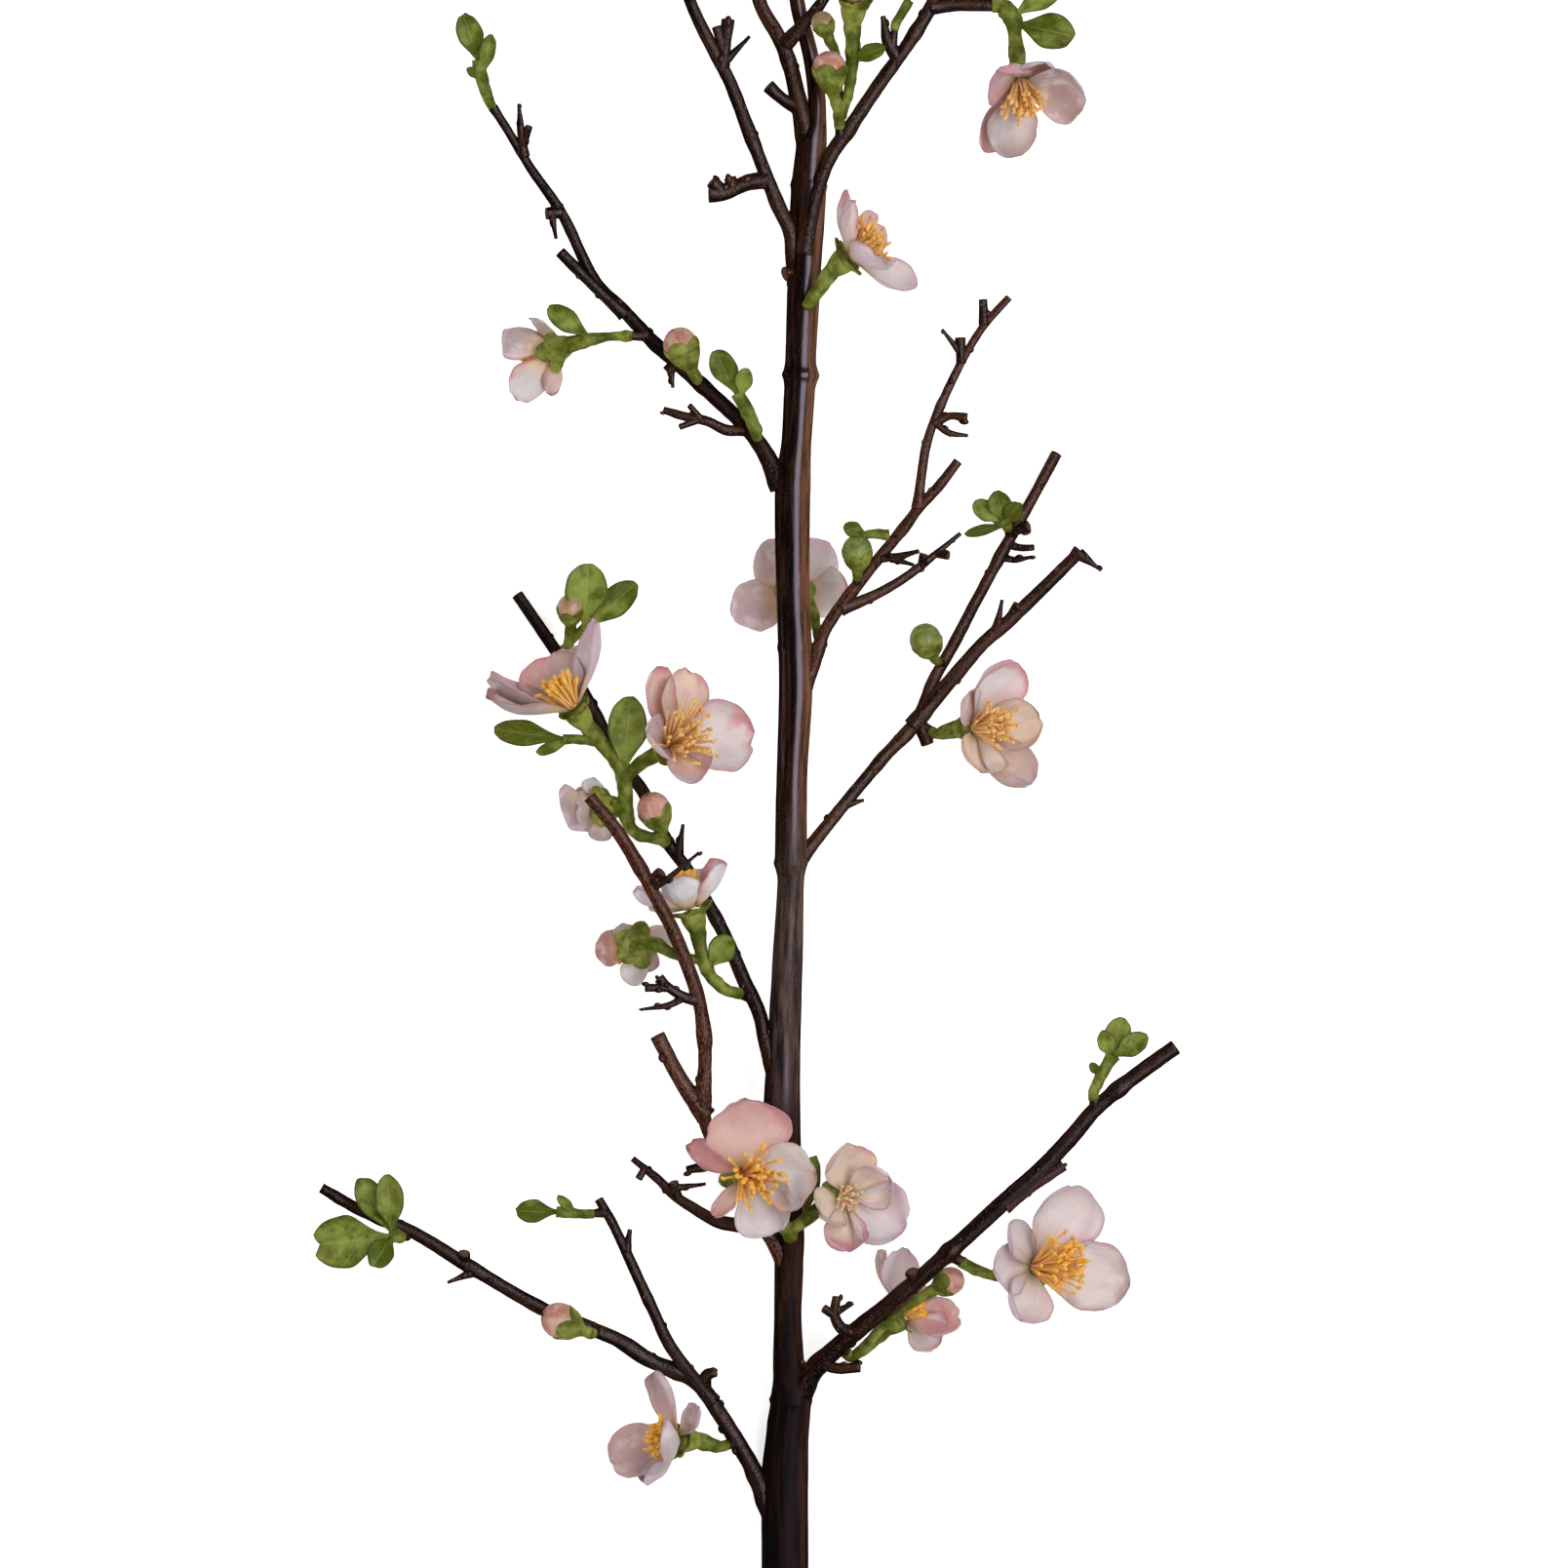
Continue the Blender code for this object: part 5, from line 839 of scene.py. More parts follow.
def blade(skin, fineness, shape, thick, **values):
    """A thin closed blade over shape(along, across), with its place on the blade kept per point."""
    rows, columns = fineness
    shares = [row / rows for row in range(rows + 1)]
    reaches = [2 * column / columns - 1 for column in range(columns + 1)]
    grid = [[shape(along, across) for across in reaches] for along in shares]
    front = []
    back = []
    for row, along in enumerate(shares):
        front.append([])
        back.append([])
        for column, across in enumerate(reaches):
            here = grid[row][column]
            up = grid[min(row + 1, rows)][column] - grid[max(row - 1, 0)][column]
            right = grid[row][min(column + 1, columns)] - grid[row][max(column - 1, 0)]
            normal = right.cross(up)
            normal = normal.normalized() if normal.length > 1e-9 else Vector((0, 0, 1))
            thin = thick * (0.35 + 0.65 * min(1.0, 6 * (1 - along), 5 * (1 - abs(across))))
            front[row].append(skin.add(here + normal * thin / 2, blade=(along, across, 1.0), **values))
            back[row].append(skin.add(here - normal * thin / 2, blade=(along, across, 0.0), **values))
    for row in range(rows):
        for column in range(columns):
            skin.faces.append((front[row][column], front[row][column + 1],
                               front[row + 1][column + 1], front[row + 1][column]))
            skin.faces.append((back[row][column], back[row + 1][column],
                               back[row + 1][column + 1], back[row][column + 1]))
    skin.bridge(edge_of(back), edge_of(front))


def edge_of(grid):
    """The points round the edge of a grid, in order."""
    return (grid[0] + [line[-1] for line in grid[1:]] + grid[-1][-2::-1]
            + [line[0] for line in grid[-2:0:-1]])


def rounded(share, widest, root, fullness, swell=1.15):
    """How wide a rounded blade is at a share of its length, where root is its width at the start."""
    if share < widest:
        return root + (1 - root) * math.sin(math.pi / 2 * share / widest) ** swell
    return max(0.0, 1 - ((share - widest) / (1 - widest)) ** fullness) ** 0.5


def petal_shape(bloom, tip, width, seed, crumple, upturn):
    """The surface of one petal: the CAD petal with a round tip, a deeper cup and a torn, waved rim."""
    root = bloom.petal_root(tip)
    chord = tip - root
    length = chord.length
    forward = chord.normalized()
    inward = (bloom.facing - forward * bloom.facing.dot(forward)).normalized()
    inward = inward + (Vector((0, 0, 1)) - forward * forward.z) * upturn
    inward.normalize()
    sideways = inward.cross(forward)
    rng = random.Random(seed)
    phase = rng.uniform(0, 6.28)
    wave = rng.uniform(0.7, 1.7)
    nick = rng.uniform(0.0, 0.05)
    nick_place = rng.uniform(-0.5, 0.5)
    lean = rng.uniform(-0.06, 0.06)
    cup = rng.uniform(0.4, 0.8)
    twist = rng.uniform(0.02, 0.18)
    flare = rng.uniform(-0.08, 0.07)
    skew = rng.uniform(-0.16, 0.16)
    roll = rng.choice((-1, 1)) * rng.uniform(0.0, 0.5)

    def shape(along, across):
        eased = 1 - (1 - along) ** 1.6
        wide = width / 2 * 1.08 * rounded(eased, 0.6, 0.15, 2.5)
        reach = wide * math.sin(across * 1.2) / math.sin(1.2)
        spread = 2 * reach / width
        # How far out: a rounded tip with a nick and a torn rim
        share = eased * (1 - 0.06 * spread * spread)
        share -= nick * math.exp(-((spread - nick_place) / 0.17) ** 2) * eased ** 5
        share += 0.03 * crumple * eased ** 6 * noise.noise((spread * 4.0 + phase, phase, 2.0))
        reach *= 1 + 0.1 * noise.noise((eased * 4.5, phase, across * 0.7)) + skew * across * eased
        # How high: a cup with a rolled side, bowed back in its middle, then waves and pleats
        lift = cup * wide * across * across + twist * reach
        lift += roll * wide * max(0.0, across * (1 if roll > 0 else -1) - 0.35) ** 2 * eased
        lift -= PETAL_BOW * length * math.sin(math.pi * min(1.0, share) ** 1.3) * 1.25
        lift += flare * length * eased ** 4
        rim = eased ** 2 * (0.2 + 0.8 * across * across) * min(1.0, wide / 2)
        lift += wave * crumple * 0.055 * length * rim * math.sin(4.6 * across + 3.5 * eased + phase)
        lift += 1.3 * crumple * rim * noise.noise((across * 2.6 + phase, eased * 3.4, phase))
        lift += 0.35 * eased * noise.noise((across * 4.5 + phase, eased * 5.0, phase + 7.0))
        lift += 0.4 * crumple * eased * noise.noise((across * 7.0 + phase, eased * 2.0, phase + 3.0))
        lift += (crumple - 1) * 0.05 * width * eased * math.sin(5.5 * across + 1.5 * eased + phase)
        return (root + forward * (length * share) + sideways * (reach + lean * length * eased ** 2)
                + inward * lift)

    return shape


def petal_piece(number, bloom, material):
    """The five petals of one bloom."""
    skin = Skin()
    for index, (tip, width) in enumerate(bloom.tips):
        seed = number * 10 + index
        body, rim = (PETAL_COLOURS[word] for word in PETAL_TINTS[number][index].split())
        width *= PETAL_WIDTHS.get((number, index), 1.0)
        upturn = PETAL_UPTURNS.get((number, index), 0.0)
        shape = petal_shape(bloom, tip, width, seed, PETAL_CRUMPLES.get(number, 1.0), upturn)
        blade(skin, PETAL_GRID, shape, PETAL_SKIN, body=body, rim=rim, depth=PETAL_THROAT_SHADES[number])
    skin.finish(f"bloom_{number:02d}_petals", material, [f"petals_{number:02d}"])


def thread(skin, points, **values):
    """A thin closed tube through points of (place, radius, tip share)."""
    path = [(Vector(place), radius, share) for place, radius, share in points]
    frames = framed(path)
    rings = []
    for (place, radius, share), (side, cross, _) in zip(path, frames):
        spots = [place + (side * around + cross * over) * radius
                 for around, over in circle(THREAD_SIDES)]
        rings.append(skin.ring(spots, tip=float(share), **values))
    skin.close(rings)


def ball(skin, placing, size, sides, rows, **values):
    """A closed round bead: size gives its three half widths."""
    rings = []
    for row in range(rows):
        rise = math.pi * (row + 0.5) / rows - math.pi / 2
        long, wide = size[0] * math.cos(rise), size[1] * math.cos(rise)
        spots = [placing @ Vector((long * around, wide * over, size[2] * math.sin(rise)))
                 for around, over in circle(sides)]
        rings.append(skin.ring(spots, **values))
    skin.close(rings)


def stamen_piece(number, bloom, material):
    """The stamens of one bloom: curved threads, each with a long anther, on a soft mound."""
    rng = random.Random(SEEDS["stamens"] + number)
    skin = Skin()
    frame = bloom.frame()
    steepest = bloom.steepest() + 6.0
    base = CORE_TOP + GAP
    pale = PALE_STAMENS.get(number, 0.0)
    mound = frame @ Matrix.Translation((0, 0, base))
    ball(skin, mound, MOUND_SIZE, *MOUND_GRID, tip=0.4, pale=pale)
    sweep = frame.to_3x3().inverted() @ Vector(STAMEN_SWEEPS.get(number, (0.0, 0.0, 0.0)))
    count = FEW_STAMENS.get(number, STAMEN_COUNT)
    for index in range(count):
        share = (index + 0.5) / count
        turn = index * GOLDEN_ANGLE + rng.uniform(-0.3, 0.3)
        lean = math.radians(steepest * (0.1 + 0.9 * share) + rng.uniform(-6, 6))
        tall = bloom.length * rng.uniform(0.38, 0.62) * STAMEN_SCALES.get(number, 1.0)
        bend = math.radians(rng.uniform(-22, 26))
        outward = Vector((math.cos(turn), math.sin(turn), 0))
        sway = Vector((-math.sin(turn), math.cos(turn), 0)) * rng.uniform(-0.22, 0.22)
        spot = outward * (0.2 + 2.1 * share) + Vector((0, 0, base + 0.2))
        points = [(frame @ spot, THREAD_ROOT, 0.0)]
        for part in range(THREAD_PARTS):
            gone = part / THREAD_PARTS
            angle = lean + bend * (gone - 0.3)
            onward = outward * math.sin(angle) + sway + sweep + Vector((0, 0, math.cos(angle)))
            onward.normalize()
            spot = spot + onward * (tall / THREAD_PARTS)
            radius = THREAD_RADIUS - THREAD_TAPER * gone
            points.append((frame @ spot, radius, (part + 1) / THREAD_PARTS * 0.75))
        thread(skin, points, pale=pale)
        head = frame @ axes_at(spot, onward) @ Matrix.Rotation(rng.uniform(0, 3.1), 4, "Z")
        head = head @ Matrix.Rotation(rng.uniform(-0.9, 0.9), 4, "X")
        bead = 0.88 - 0.3 * pale
        size = (rng.uniform(0.7, 1.0) * bead, 0.62 * bead, rng.uniform(1.1, 1.8) * bead)
        ball(skin, head, size, *STAMEN_HEAD_GRID, tip=1.0, pale=pale)
    skin.finish(f"bloom_{number:02d}_stamens", material, [f"stamens_{number:02d}"])


def axes_at(place, facing):
    """Axes with Z along facing."""
    return Matrix.Translation(place) @ facing.to_track_quat("Z", "Y").to_matrix().to_4x4()


def turned(skin, frame, profile, sides, size, ripple, shade):
    """A closed round body from a profile of (height, radius), both times size, with five ripples."""
    rings = []
    for height, radius in profile:
        ring = []
        for index in range(sides):
            turn = 2 * math.pi * index / sides
            wide = radius * size * (1 + ripple * math.cos(5 * turn) * (radius > 2))
            spot = Vector((wide * math.cos(turn), wide * math.sin(turn), height * size))
            ring.append(skin.add(frame @ spot, blade=(0.3, 0.0, 0.0), shade=shade))
        rings.append(ring)
    skin.close(rings)


def calyx(skin, bloom):
    """The green bell behind a bloom, with a round lobe between each two petals that hugs their backs."""
    frame = bloom.frame()
    local = frame.inverted()
    profile = [(-CALYX_LENGTH - 1.2, 1.8), (-6.9, 2.2), (-5.6, 2.85), (-4.2, 3.4), (-2.8, 3.8),
               (-1.4, 4.0), (-0.5, 3.95), (0.0, 3.5), (0.1, 1.6)]
    turned(skin, frame, profile, CALYX_SIDES, 1.0, 0.045, 0.7)
    petals = []
    for tip, _ in bloom.tips:
        spot = local @ tip
        petals.append((math.atan2(spot.y, spot.x), math.atan2(spot.z, math.hypot(spot.x, spot.y))))
    petals.sort()
    for index, (turn, rise) in enumerate(petals):
        next_turn, next_rise = petals[(index + 1) % len(petals)]
        gap = (next_turn - turn) % (2 * math.pi)
        placing = frame @ Matrix.Rotation(turn + gap / 2, 4, "Z")
        lift = max(-0.4, min(1.1, (rise + next_rise) / 2 - 0.16))
        curl = 0.15 + 0.3 * math.sin(index * 2.3 + bloom.place.x)
        reach = LOBE_REACH * (1 + 0.25 * math.sin(index * 1.9 + bloom.place.y))

        def shape(along, across):
            half = 3.1 * (1 - along ** 2.6) ** 0.62 * (1 + 0.1 * math.sin(index * 3.1)) + 0.12
            run = reach * along
            out = 3.0 + run * math.cos(lift)
            high = -1.2 + run * math.sin(lift) - curl * along ** 2 + 0.2 * half * across * across
            high += 0.35 * noise.noise((across * 2.0, along * 2.5, index + bloom.place.x))
            return placing @ Vector((out, half * across, high))

        blade(skin, LOBE_GRID, shape, LOBE_SKIN, shade=0.55)


def on_sphere(radius, rise, swing, stretch=1.0):
    """A point on a sphere at two angles, with its height stretched."""
    wide = radius * math.cos(rise)
    high = radius * stretch * math.sin(rise)
    return Vector((wide * math.cos(swing), wide * math.sin(swing), high))


def bud_ball(skin, bud, tint):
    """The round head of a bud: five petals wrapped over each other round a core."""
    size = bud.radius
    middle = axes_at(bud.place, bud.facing) @ Matrix.Translation((0, 0, 0.08 * size))
    ball(skin, middle, (0.93 * size, 0.93 * size, 0.98 * size), *BUD_CORE_GRID,
         blade=(0.5, 0.0, 0.0), tint=float(tint))
    for index in range(5):
        turn = Matrix.Rotation(2 * math.pi * index / 5 + 0.4, 4, "Z")
        tip_tilt = 0.12 * math.sin(index * 2.4)

        def shape(along, across):
            rise = -0.75 + 2.15 * along * (1 - 0.08 * across * across) + tip_tilt * along
            half = 1.05 * rounded(min(0.985, along), 0.45, 0.5, 2.6)
            shell = size * (0.965 + 0.055 * (across + 1) / 2)
            swing = half * across / max(0.25, math.cos(min(rise, 1.35)))
            swing = max(-1.9, min(1.9, swing))
            return middle @ turn @ on_sphere(shell, rise, swing, 1.06)

        blade(skin, BUD_GRID, shape, BUD_SKIN, tint=float(tint))


def bud_piece(number, bud, material, node):
    """The petals of one bud, which stand for its own node or for its sprig's."""
    skin = Skin()
    bud_ball(skin, bud, BUD_TINTS[number])
    skin.finish(f"bud_{number:02d}_petals", material, [node])


def bud_cup(skin, bud, growth):
    """The green cup under a bud, with five lobes that clasp it: growth 1 brings it half way up."""
    size = bud.radius
    frame = axes_at(bud.place, bud.facing)
    profile = [(-1.6 - 0.5 * growth, 0.3), (-1.35 - 0.35 * growth, 0.4), (-1.12 - 0.2 * growth, 0.6),
               (-0.9 - 0.05 * growth, 0.8), (-0.65 + 0.15 * growth, 0.92 + 0.08 * growth),
               (-0.45 + 0.45 * growth, 0.97 + 0.1 * growth), (-0.4 + 0.45 * growth, 0.8)]
    turned(skin, frame, profile, CUP_SIDES, size, 0.0, 0.45)
    middle = frame @ Matrix.Translation((0, 0, 0.06 * size))
    for index in range(5):
        turn = Matrix.Rotation(2 * math.pi * index / 5, 4, "Z")
        height = 0.78 + 0.22 * math.sin(index * 2.1 + bud.place.x)

        def shape(along, across):
            rise = -0.7 + 0.65 * growth + height * (1 - 0.35 * growth) * along
            half = 0.66 * (1 - along ** 2.6) ** 0.6 + 0.02
            shell = size * (1.06 + 0.04 * growth)
            return middle @ turn @ on_sphere(shell, rise, half * across)

        blade(skin, CUP_LOBE_GRID, shape, CUP_LOBE_SKIN, shade=0.5)


def leaf_shape(leaf, seed):
    """The surface of a spoon-shaped leaf: as the CAD leaf, with a round tip, a midrib and a wavy rim."""
    along_axis = leaf.tip - leaf.base
    length = along_axis.length
    forward = along_axis.normalized()
    across_axis = forward.cross(leaf.lean).normalized()
    up = across_axis.cross(forward)
    rng = random.Random(seed)
    phase = rng.uniform(0, 6.28)

    def shape(along, across):
        eased = 1 - (1 - along) ** 1.6
        wide = leaf.width / 2 * 1.06 * rounded(eased, 0.64, 2 * LEAF_ROOT / leaf.width, 2.6, 2.2)
        reach = wide * across * (1 + 0.09 * noise.noise((eased * 3.4, phase, across * 0.6)))
        spread = 2 * reach / leaf.width
        run = length * eased * (1 - 0.05 * spread * spread)
        run -= leaf.notch * eased ** 6 * max(0.0, 1 - 2.6 * abs(spread))
        run += 0.03 * length * eased ** 5 * noise.noise((spread * 3.0 + phase, 4.0, phase))
        rise = 0.42 * wide * across * across + 0.07 * length * math.sin(math.pi * eased)
        rise -= 0.2 * math.exp(-(across / 0.14) ** 2) * (1 - eased) ** 0.5
        rise += 0.08 * wide * math.sin(6 * eased + phase) * across * across
        rise += 0.5 * noise.noise((across * 2.0 + phase, eased * 2.6, phase)) * min(1.0, wide / 2)
        return leaf.base + forward * run + across_axis * reach + up * rise

    return shape


def stalk_tube(skin, route, flare):
    """A fleshy green stalk with soft swellings, wider at its end by the share flare."""
    path = smooth_path(route, STALK_STEP)
    frames = framed(path)
    total = path[-1][2]
    rings = []
    for (place, radius, gone), (side, cross, _) in zip(path, frames):
        ring = []
        for around, over in circle(STALK_SIDES):
            grain = noise.noise((around * 1.2, over * 1.2, gone * 0.45 + route[0][0]))
            lumps = max(0.0, noise.noise((gone * 0.3, route[0][1], 5.0)))
            size = radius * 1.25 * (1 + 0.14 * grain)
            size *= 1 + 0.22 * lumps + flare * (gone / total) ** 1.5
            ring.append(skin.add(place + (side * around + cross * over) * size,
                                 blade=(0.2, 0.0, 0.0), shade=0.4))
        rings.append(ring)
    skin.close(rings)


def sprig_start(plan):
    """The first two points of a sprig's main stalk, from just inside the wood's end to past its gap."""
    if plan["spur"]:
        root, end, radius = plan["spur"]
    else:
        root, end = (point[:3] for point in BRANCHES[plan["tip_of"]][-2:])
        radius = BRANCHES[plan["tip_of"]][-1][3]
    onward = (Vector(end) - Vector(root)).normalized()
    return [(*(Vector(end) - onward * 0.6), radius), (*(Vector(end) + onward * (GAP + 1.0)), radius)]


def sprig_pieces(name, plan, green, leafy, rosy):
    """The stalks, calyxes, bud cups and leaves of one green sprig, and its closed buds."""
    stalks = Skin()
    for route in plan["stalks"]:
        points = sprig_start(plan) if route[0] is None else [route[0]]
        for step in route[1:]:
            if step[1] == "bloom":
                bloom = BLOOMS[step[0]]
                points[-1] = (*points[-1][:3], max(points[-1][3], 1.7))
                points.append((*bloom.behind(CALYX_LENGTH - 0.5), 2.1))
                points.append((*bloom.behind(CALYX_LENGTH - 2.0), 2.3))
                calyx(stalks, bloom)
            elif step[1] == "bud":
                bud = BUDS[step[0]]
                points.append((*bud.behind(bud.radius * 1.5 - 0.4), 1.4))
                points.append((*bud.behind(bud.radius * 1.5 - 1.4), 1.4))
                bud_cup(stalks, bud, CUP_GROWTHS.get(step[0], 0.0))
                if not bud.pink:
                    bud_piece(step[0], bud, rosy, name)
            else:
                points.append(step)
        stalk_tube(stalks, points, 0.0 if len(route[-1]) == 2 else LEAFY_FLARE)
    stalks.finish(f"{name}_stalks", green, [name])
    if plan["leaves"]:
        leaves = Skin()
        for leaf in plan["leaves"]:
            shade = random.Random(round(leaf.tip.x * 10)).random()
            blade(leaves, LEAF_GRID, leaf_shape(leaf, round(leaf.tip.y * 10)), LEAF_SKIN, shade=shade)
        leaves.finish(f"{name}_leaves", leafy, [name])


def arithmetic(kind):
    """A method that adds one node of arithmetic."""
    return lambda first, second=0.0: first.nodes.math(kind, first, second)


class Value:
    """One output in a node tree: a number, a vector or a colour. Arithmetic on it adds nodes."""

    def __init__(self, nodes, socket):
        self.nodes = nodes
        self.socket = socket

    __add__ = arithmetic("ADD")
    __sub__ = arithmetic("SUBTRACT")
    __mul__ = arithmetic("MULTIPLY")
    __pow__ = arithmetic("POWER")
    __abs__ = arithmetic("ABSOLUTE")
    sine = arithmetic("SINE")
    larger = arithmetic("MAXIMUM")

    def __rsub__(self, other):
        return self.nodes.math("SUBTRACT", other, self)

    def clamped(self):
        """The result of one step of arithmetic, held between 0 and 1."""
        self.socket.node.use_clamp = True
        return self

    def span(self, low, high):
        """A number's way from low to high, as 0 to 1, eased."""
        return self.nodes.node("MapRange", "Result", {"Value": self, "From Min": low, "From Max": high},
                               interpolation_type="SMOOTHSTEP")

    def part(self, axis):
        """One number of a vector."""
        return self.nodes.node("SeparateXYZ", axis, {0: self})

    def scaled(self, *amounts):
        """A vector times one number for each axis."""
        return self.nodes.node("VectorMath", 0, {0: self, 1: amounts}, operation="MULTIPLY")

    def noise(self, scale, detail=4.0, rough=0.5, warp=0.0):
        """Soft noise about 0.5 at this place."""
        inputs = {"Vector": self, "Scale": scale, "Detail": detail, "Roughness": rough,
                  "Distortion": warp}
        return self.nodes.node("TexNoise", "Fac", inputs)

    def under(self, share, colour):
        """This colour with a share of another one laid over it."""
        return self.nodes.mix(share, self, colour)


class Nodes:
    """Short ways to build the node tree of a material or of the sky."""

    def __init__(self, owner, shader="Principled BSDF"):
        owner.use_nodes = True
        self.owner = owner
        self.tree = owner.node_tree
        self.shader = self.tree.nodes[shader]

    def link(self, value, socket):
        """Puts a number, a colour or a value on a socket."""
        if isinstance(value, Value):
            self.tree.links.new(value.socket, socket)
        elif socket.type == "RGBA":
            socket.default_value = (*value, 1.0)
        else:
            socket.default_value = value

    def node(self, kind, output, inputs, **settings):
        """A new node with these settings and inputs; gives one of its outputs."""
        node = self.tree.nodes.new("ShaderNode" + kind)
        for key, value in settings.items():
            setattr(node, key, value)
        for key, value in inputs.items():
            self.link(value, node.inputs[key])
        return Value(self, node.outputs[output])

    def math(self, kind, first, second=0.0):
        """One step of arithmetic."""
        return self.node("Math", 0, {0: first, 1: second}, operation=kind)

    def mix(self, share, first, second):
        """Two colours mixed."""
        return self.node("Mix", 2, {0: share, 6: first, 7: second}, data_type="RGBA")

    def attribute(self, name, output="Fac"):
        """A per-point value."""
        return self.node("Attribute", output, {}, attribute_name=name)

    def place(self):
        """The place on the piece, in metres."""
        return self.node("TexCoord", "Object", {})

    def bump(self, height, strength, distance):
        """A bump on the shader's normal."""
        inputs = {"Strength": strength, "Distance": distance, "Height": height}
        self.set(Normal=self.node("Bump", "Normal", inputs))

    def set(self, **values):
        """Numbers, colours and values on the shader's own sockets."""
        for key, value in values.items():
            self.link(value, self.shader.inputs[key.replace("_", " ")])


def bark_material(name, smooth):
    """Near-black bark with red-brown streaks and pale flecks, glossy on the smooth stem."""
    look = Nodes(bpy.data.materials.new(name))
    grain = look.attribute("grain", "Vector")
    tone = look.attribute("tone")
    streak = grain.scaled(0.8, 0.8, 0.06).noise(0.8, 5.0, 0.6, 0.3)
    patch = grain.scaled(0.3, 0.3, 0.04).noise(1.0, 3.0, 0.5, 0.2)
    fleck = grain.scaled(1.2, 1.2, 2.0).noise(1.0, 2.0, 0.5)
    fine = grain.scaled(2.2, 2.2, 0.5).noise(1.6, 5.0, 0.65)
    cloud = grain.scaled(0.25, 0.25, 0.12).noise(1.0, 3.0, 0.55)
    red = (streak.span(0.42, 0.66) + (tone - 0.3)).clamped()
    red = (red * (tone * 0.9 + 0.12)).clamped()
    base = look.mix(red, (0.0040, 0.0022, 0.0020), (0.135, 0.036, 0.014))
    base = base.under(patch.span(0.45, 0.65) * tone * 0.4, (0.17, 0.075, 0.035))
    # Orange-brown on the stem's right side: partly bark colour, partly painted light on the side facing
    # the key light
    warm = (look.attribute("warm") * (streak.span(0.35, 0.6) + 0.3)).clamped()
    base = base.under(warm * 0.88, (0.24, 0.10, 0.05))
    base = base.under(fleck.span(0.58, 0.7) * tone * 0.8, (0.24, 0.12, 0.08))
    # Grey wear on the stem: real wear, kept off its left side as painted shade
    worn = (look.attribute("worn") * (streak.span(0.35, 0.6) + 0.15)).clamped()
    worn = (worn * (patch.span(0.4, 0.6) + 0.45)).clamped()
    base = base.under(worn * 0.85, (0.115, 0.078, 0.060))
    base = base.under(worn * (fleck.span(0.52, 0.66) * 0.6), (0.17, 0.08, 0.03))
    dark = (fine.span(0.55, 0.42) * (tone * 1.3)).clamped()
    base = base.under(dark, (0.006, 0.0035, 0.0035))
    base = base.under(look.attribute("cut") * 0.7, (0.16, 0.09, 0.05))
    if smooth:
        dull = look.attribute("dull")
        look.set(Base_Color=base, Roughness=(cloud + streak) * 0.1 + 0.12 + dull * 0.3,
                 Specular_IOR_Level=0.85 - dull * 0.72, Specular_Tint=(0.93, 0.80, 1.0))
        look.bump(cloud + streak * 0.5, 0.25, 0.0004)
    else:
        look.set(Base_Color=base, Roughness=fine * 0.2 + 0.12, Specular_IOR_Level=0.6,
                 Specular_Tint=(1.0, 0.82, 0.82))
        look.bump(fine * 0.7 + fleck.span(0.55, 0.74) * 1.2, 0.5, 0.0004)
    return look.owner


def petal_material():
    """Soft petals: body colour runs into rim colour, with painted shade in the throat and an orange,
    green-gold root.
    """
    look = Nodes(bpy.data.materials.new("petal"))
    blade_place = look.attribute("blade", "Vector")
    along = blade_place.part(0)
    across = abs(blade_place.part(1))
    front = blade_place.part(2)
    cloud = look.place().noise(170.0, 3.0, 0.55)
    broad = look.place().noise(75.0, 2.0, 0.5)
    edge = (along ** 2.0).larger(across ** 2.4 * 0.9)
    edge = edge + (cloud - 0.5) * 1.4 + (broad - 0.5) * 1.8
    colour = look.attribute("body", "Color").under(edge.span(0.2, 0.85), look.attribute("rim", "Color"))
    # Painted shade towards the throat, as deep as each bloom's share, lightest at the rim
    shade = broad.span(0.4, 0.6) + 0.75 - edge.span(0.1, 1.0)
    colour = colour.under((look.attribute("depth") * shade).clamped(), (0.38, 0.28, 0.28))
    pale = (cloud.span(0.5, 0.7) * (0.7 - edge * 0.6)).clamped()
    colour = colour.under(pale, (0.84, 0.79, 0.80))
    glow = (1.0 - along.span(0.04, 0.42)) * (front * 0.55 + 0.2)
    colour = colour.under(glow, (0.80, 0.50, 0.22))
    colour = colour.under((1.0 - along.span(0.02, 0.14)) * 0.6, (0.36, 0.36, 0.08))
    veins = blade_place.scaled(1.1, 11.0, 0.0).noise(1.6, 4.0, 0.6, 0.4)
    colour = colour.under(veins.span(0.5, 0.7) * 0.3, (0.60, 0.36, 0.36))
    line = across.span(0.86, 1.0).larger(along.span(0.94, 1.0))
    colour = colour.under(line * 0.7, (0.40, 0.22, 0.25))
    look.set(Base_Color=colour, Roughness=0.5, Subsurface_Weight=0.2, Subsurface_Scale=0.002,
             Subsurface_Radius=(1.0, 0.55, 0.45), Sheen_Weight=0.08, Specular_IOR_Level=0.25)
    look.bump(veins, 0.8, 0.0004)
    return look.owner


def stamen_material():
    """Orange-yellow threads with deeper heads and a peach base."""
    look = Nodes(bpy.data.materials.new("stamen"))
    tip = look.attribute("tip")
    cloud = look.place().noise(900.0, 2.0, 0.5)
    colour = look.mix(tip.span(0.0, 0.5), (0.80, 0.36, 0.13), (0.92, 0.50, 0.12))
    colour = colour.under(tip.span(0.78, 0.95), (0.92, 0.46, 0.05))
    colour = colour.under(cloud.span(0.45, 0.7) * 0.45, (0.95, 0.70, 0.30))
    colour = colour.under(look.attribute("pale"), (0.84, 0.60, 0.40))
    look.set(Base_Color=colour, Roughness=0.6, Subsurface_Weight=0.2, Subsurface_Scale=0.001,
             Subsurface_Radius=(1.0, 0.6, 0.2))
    look.bump(cloud, 0.3, 0.0002)
    return look.owner


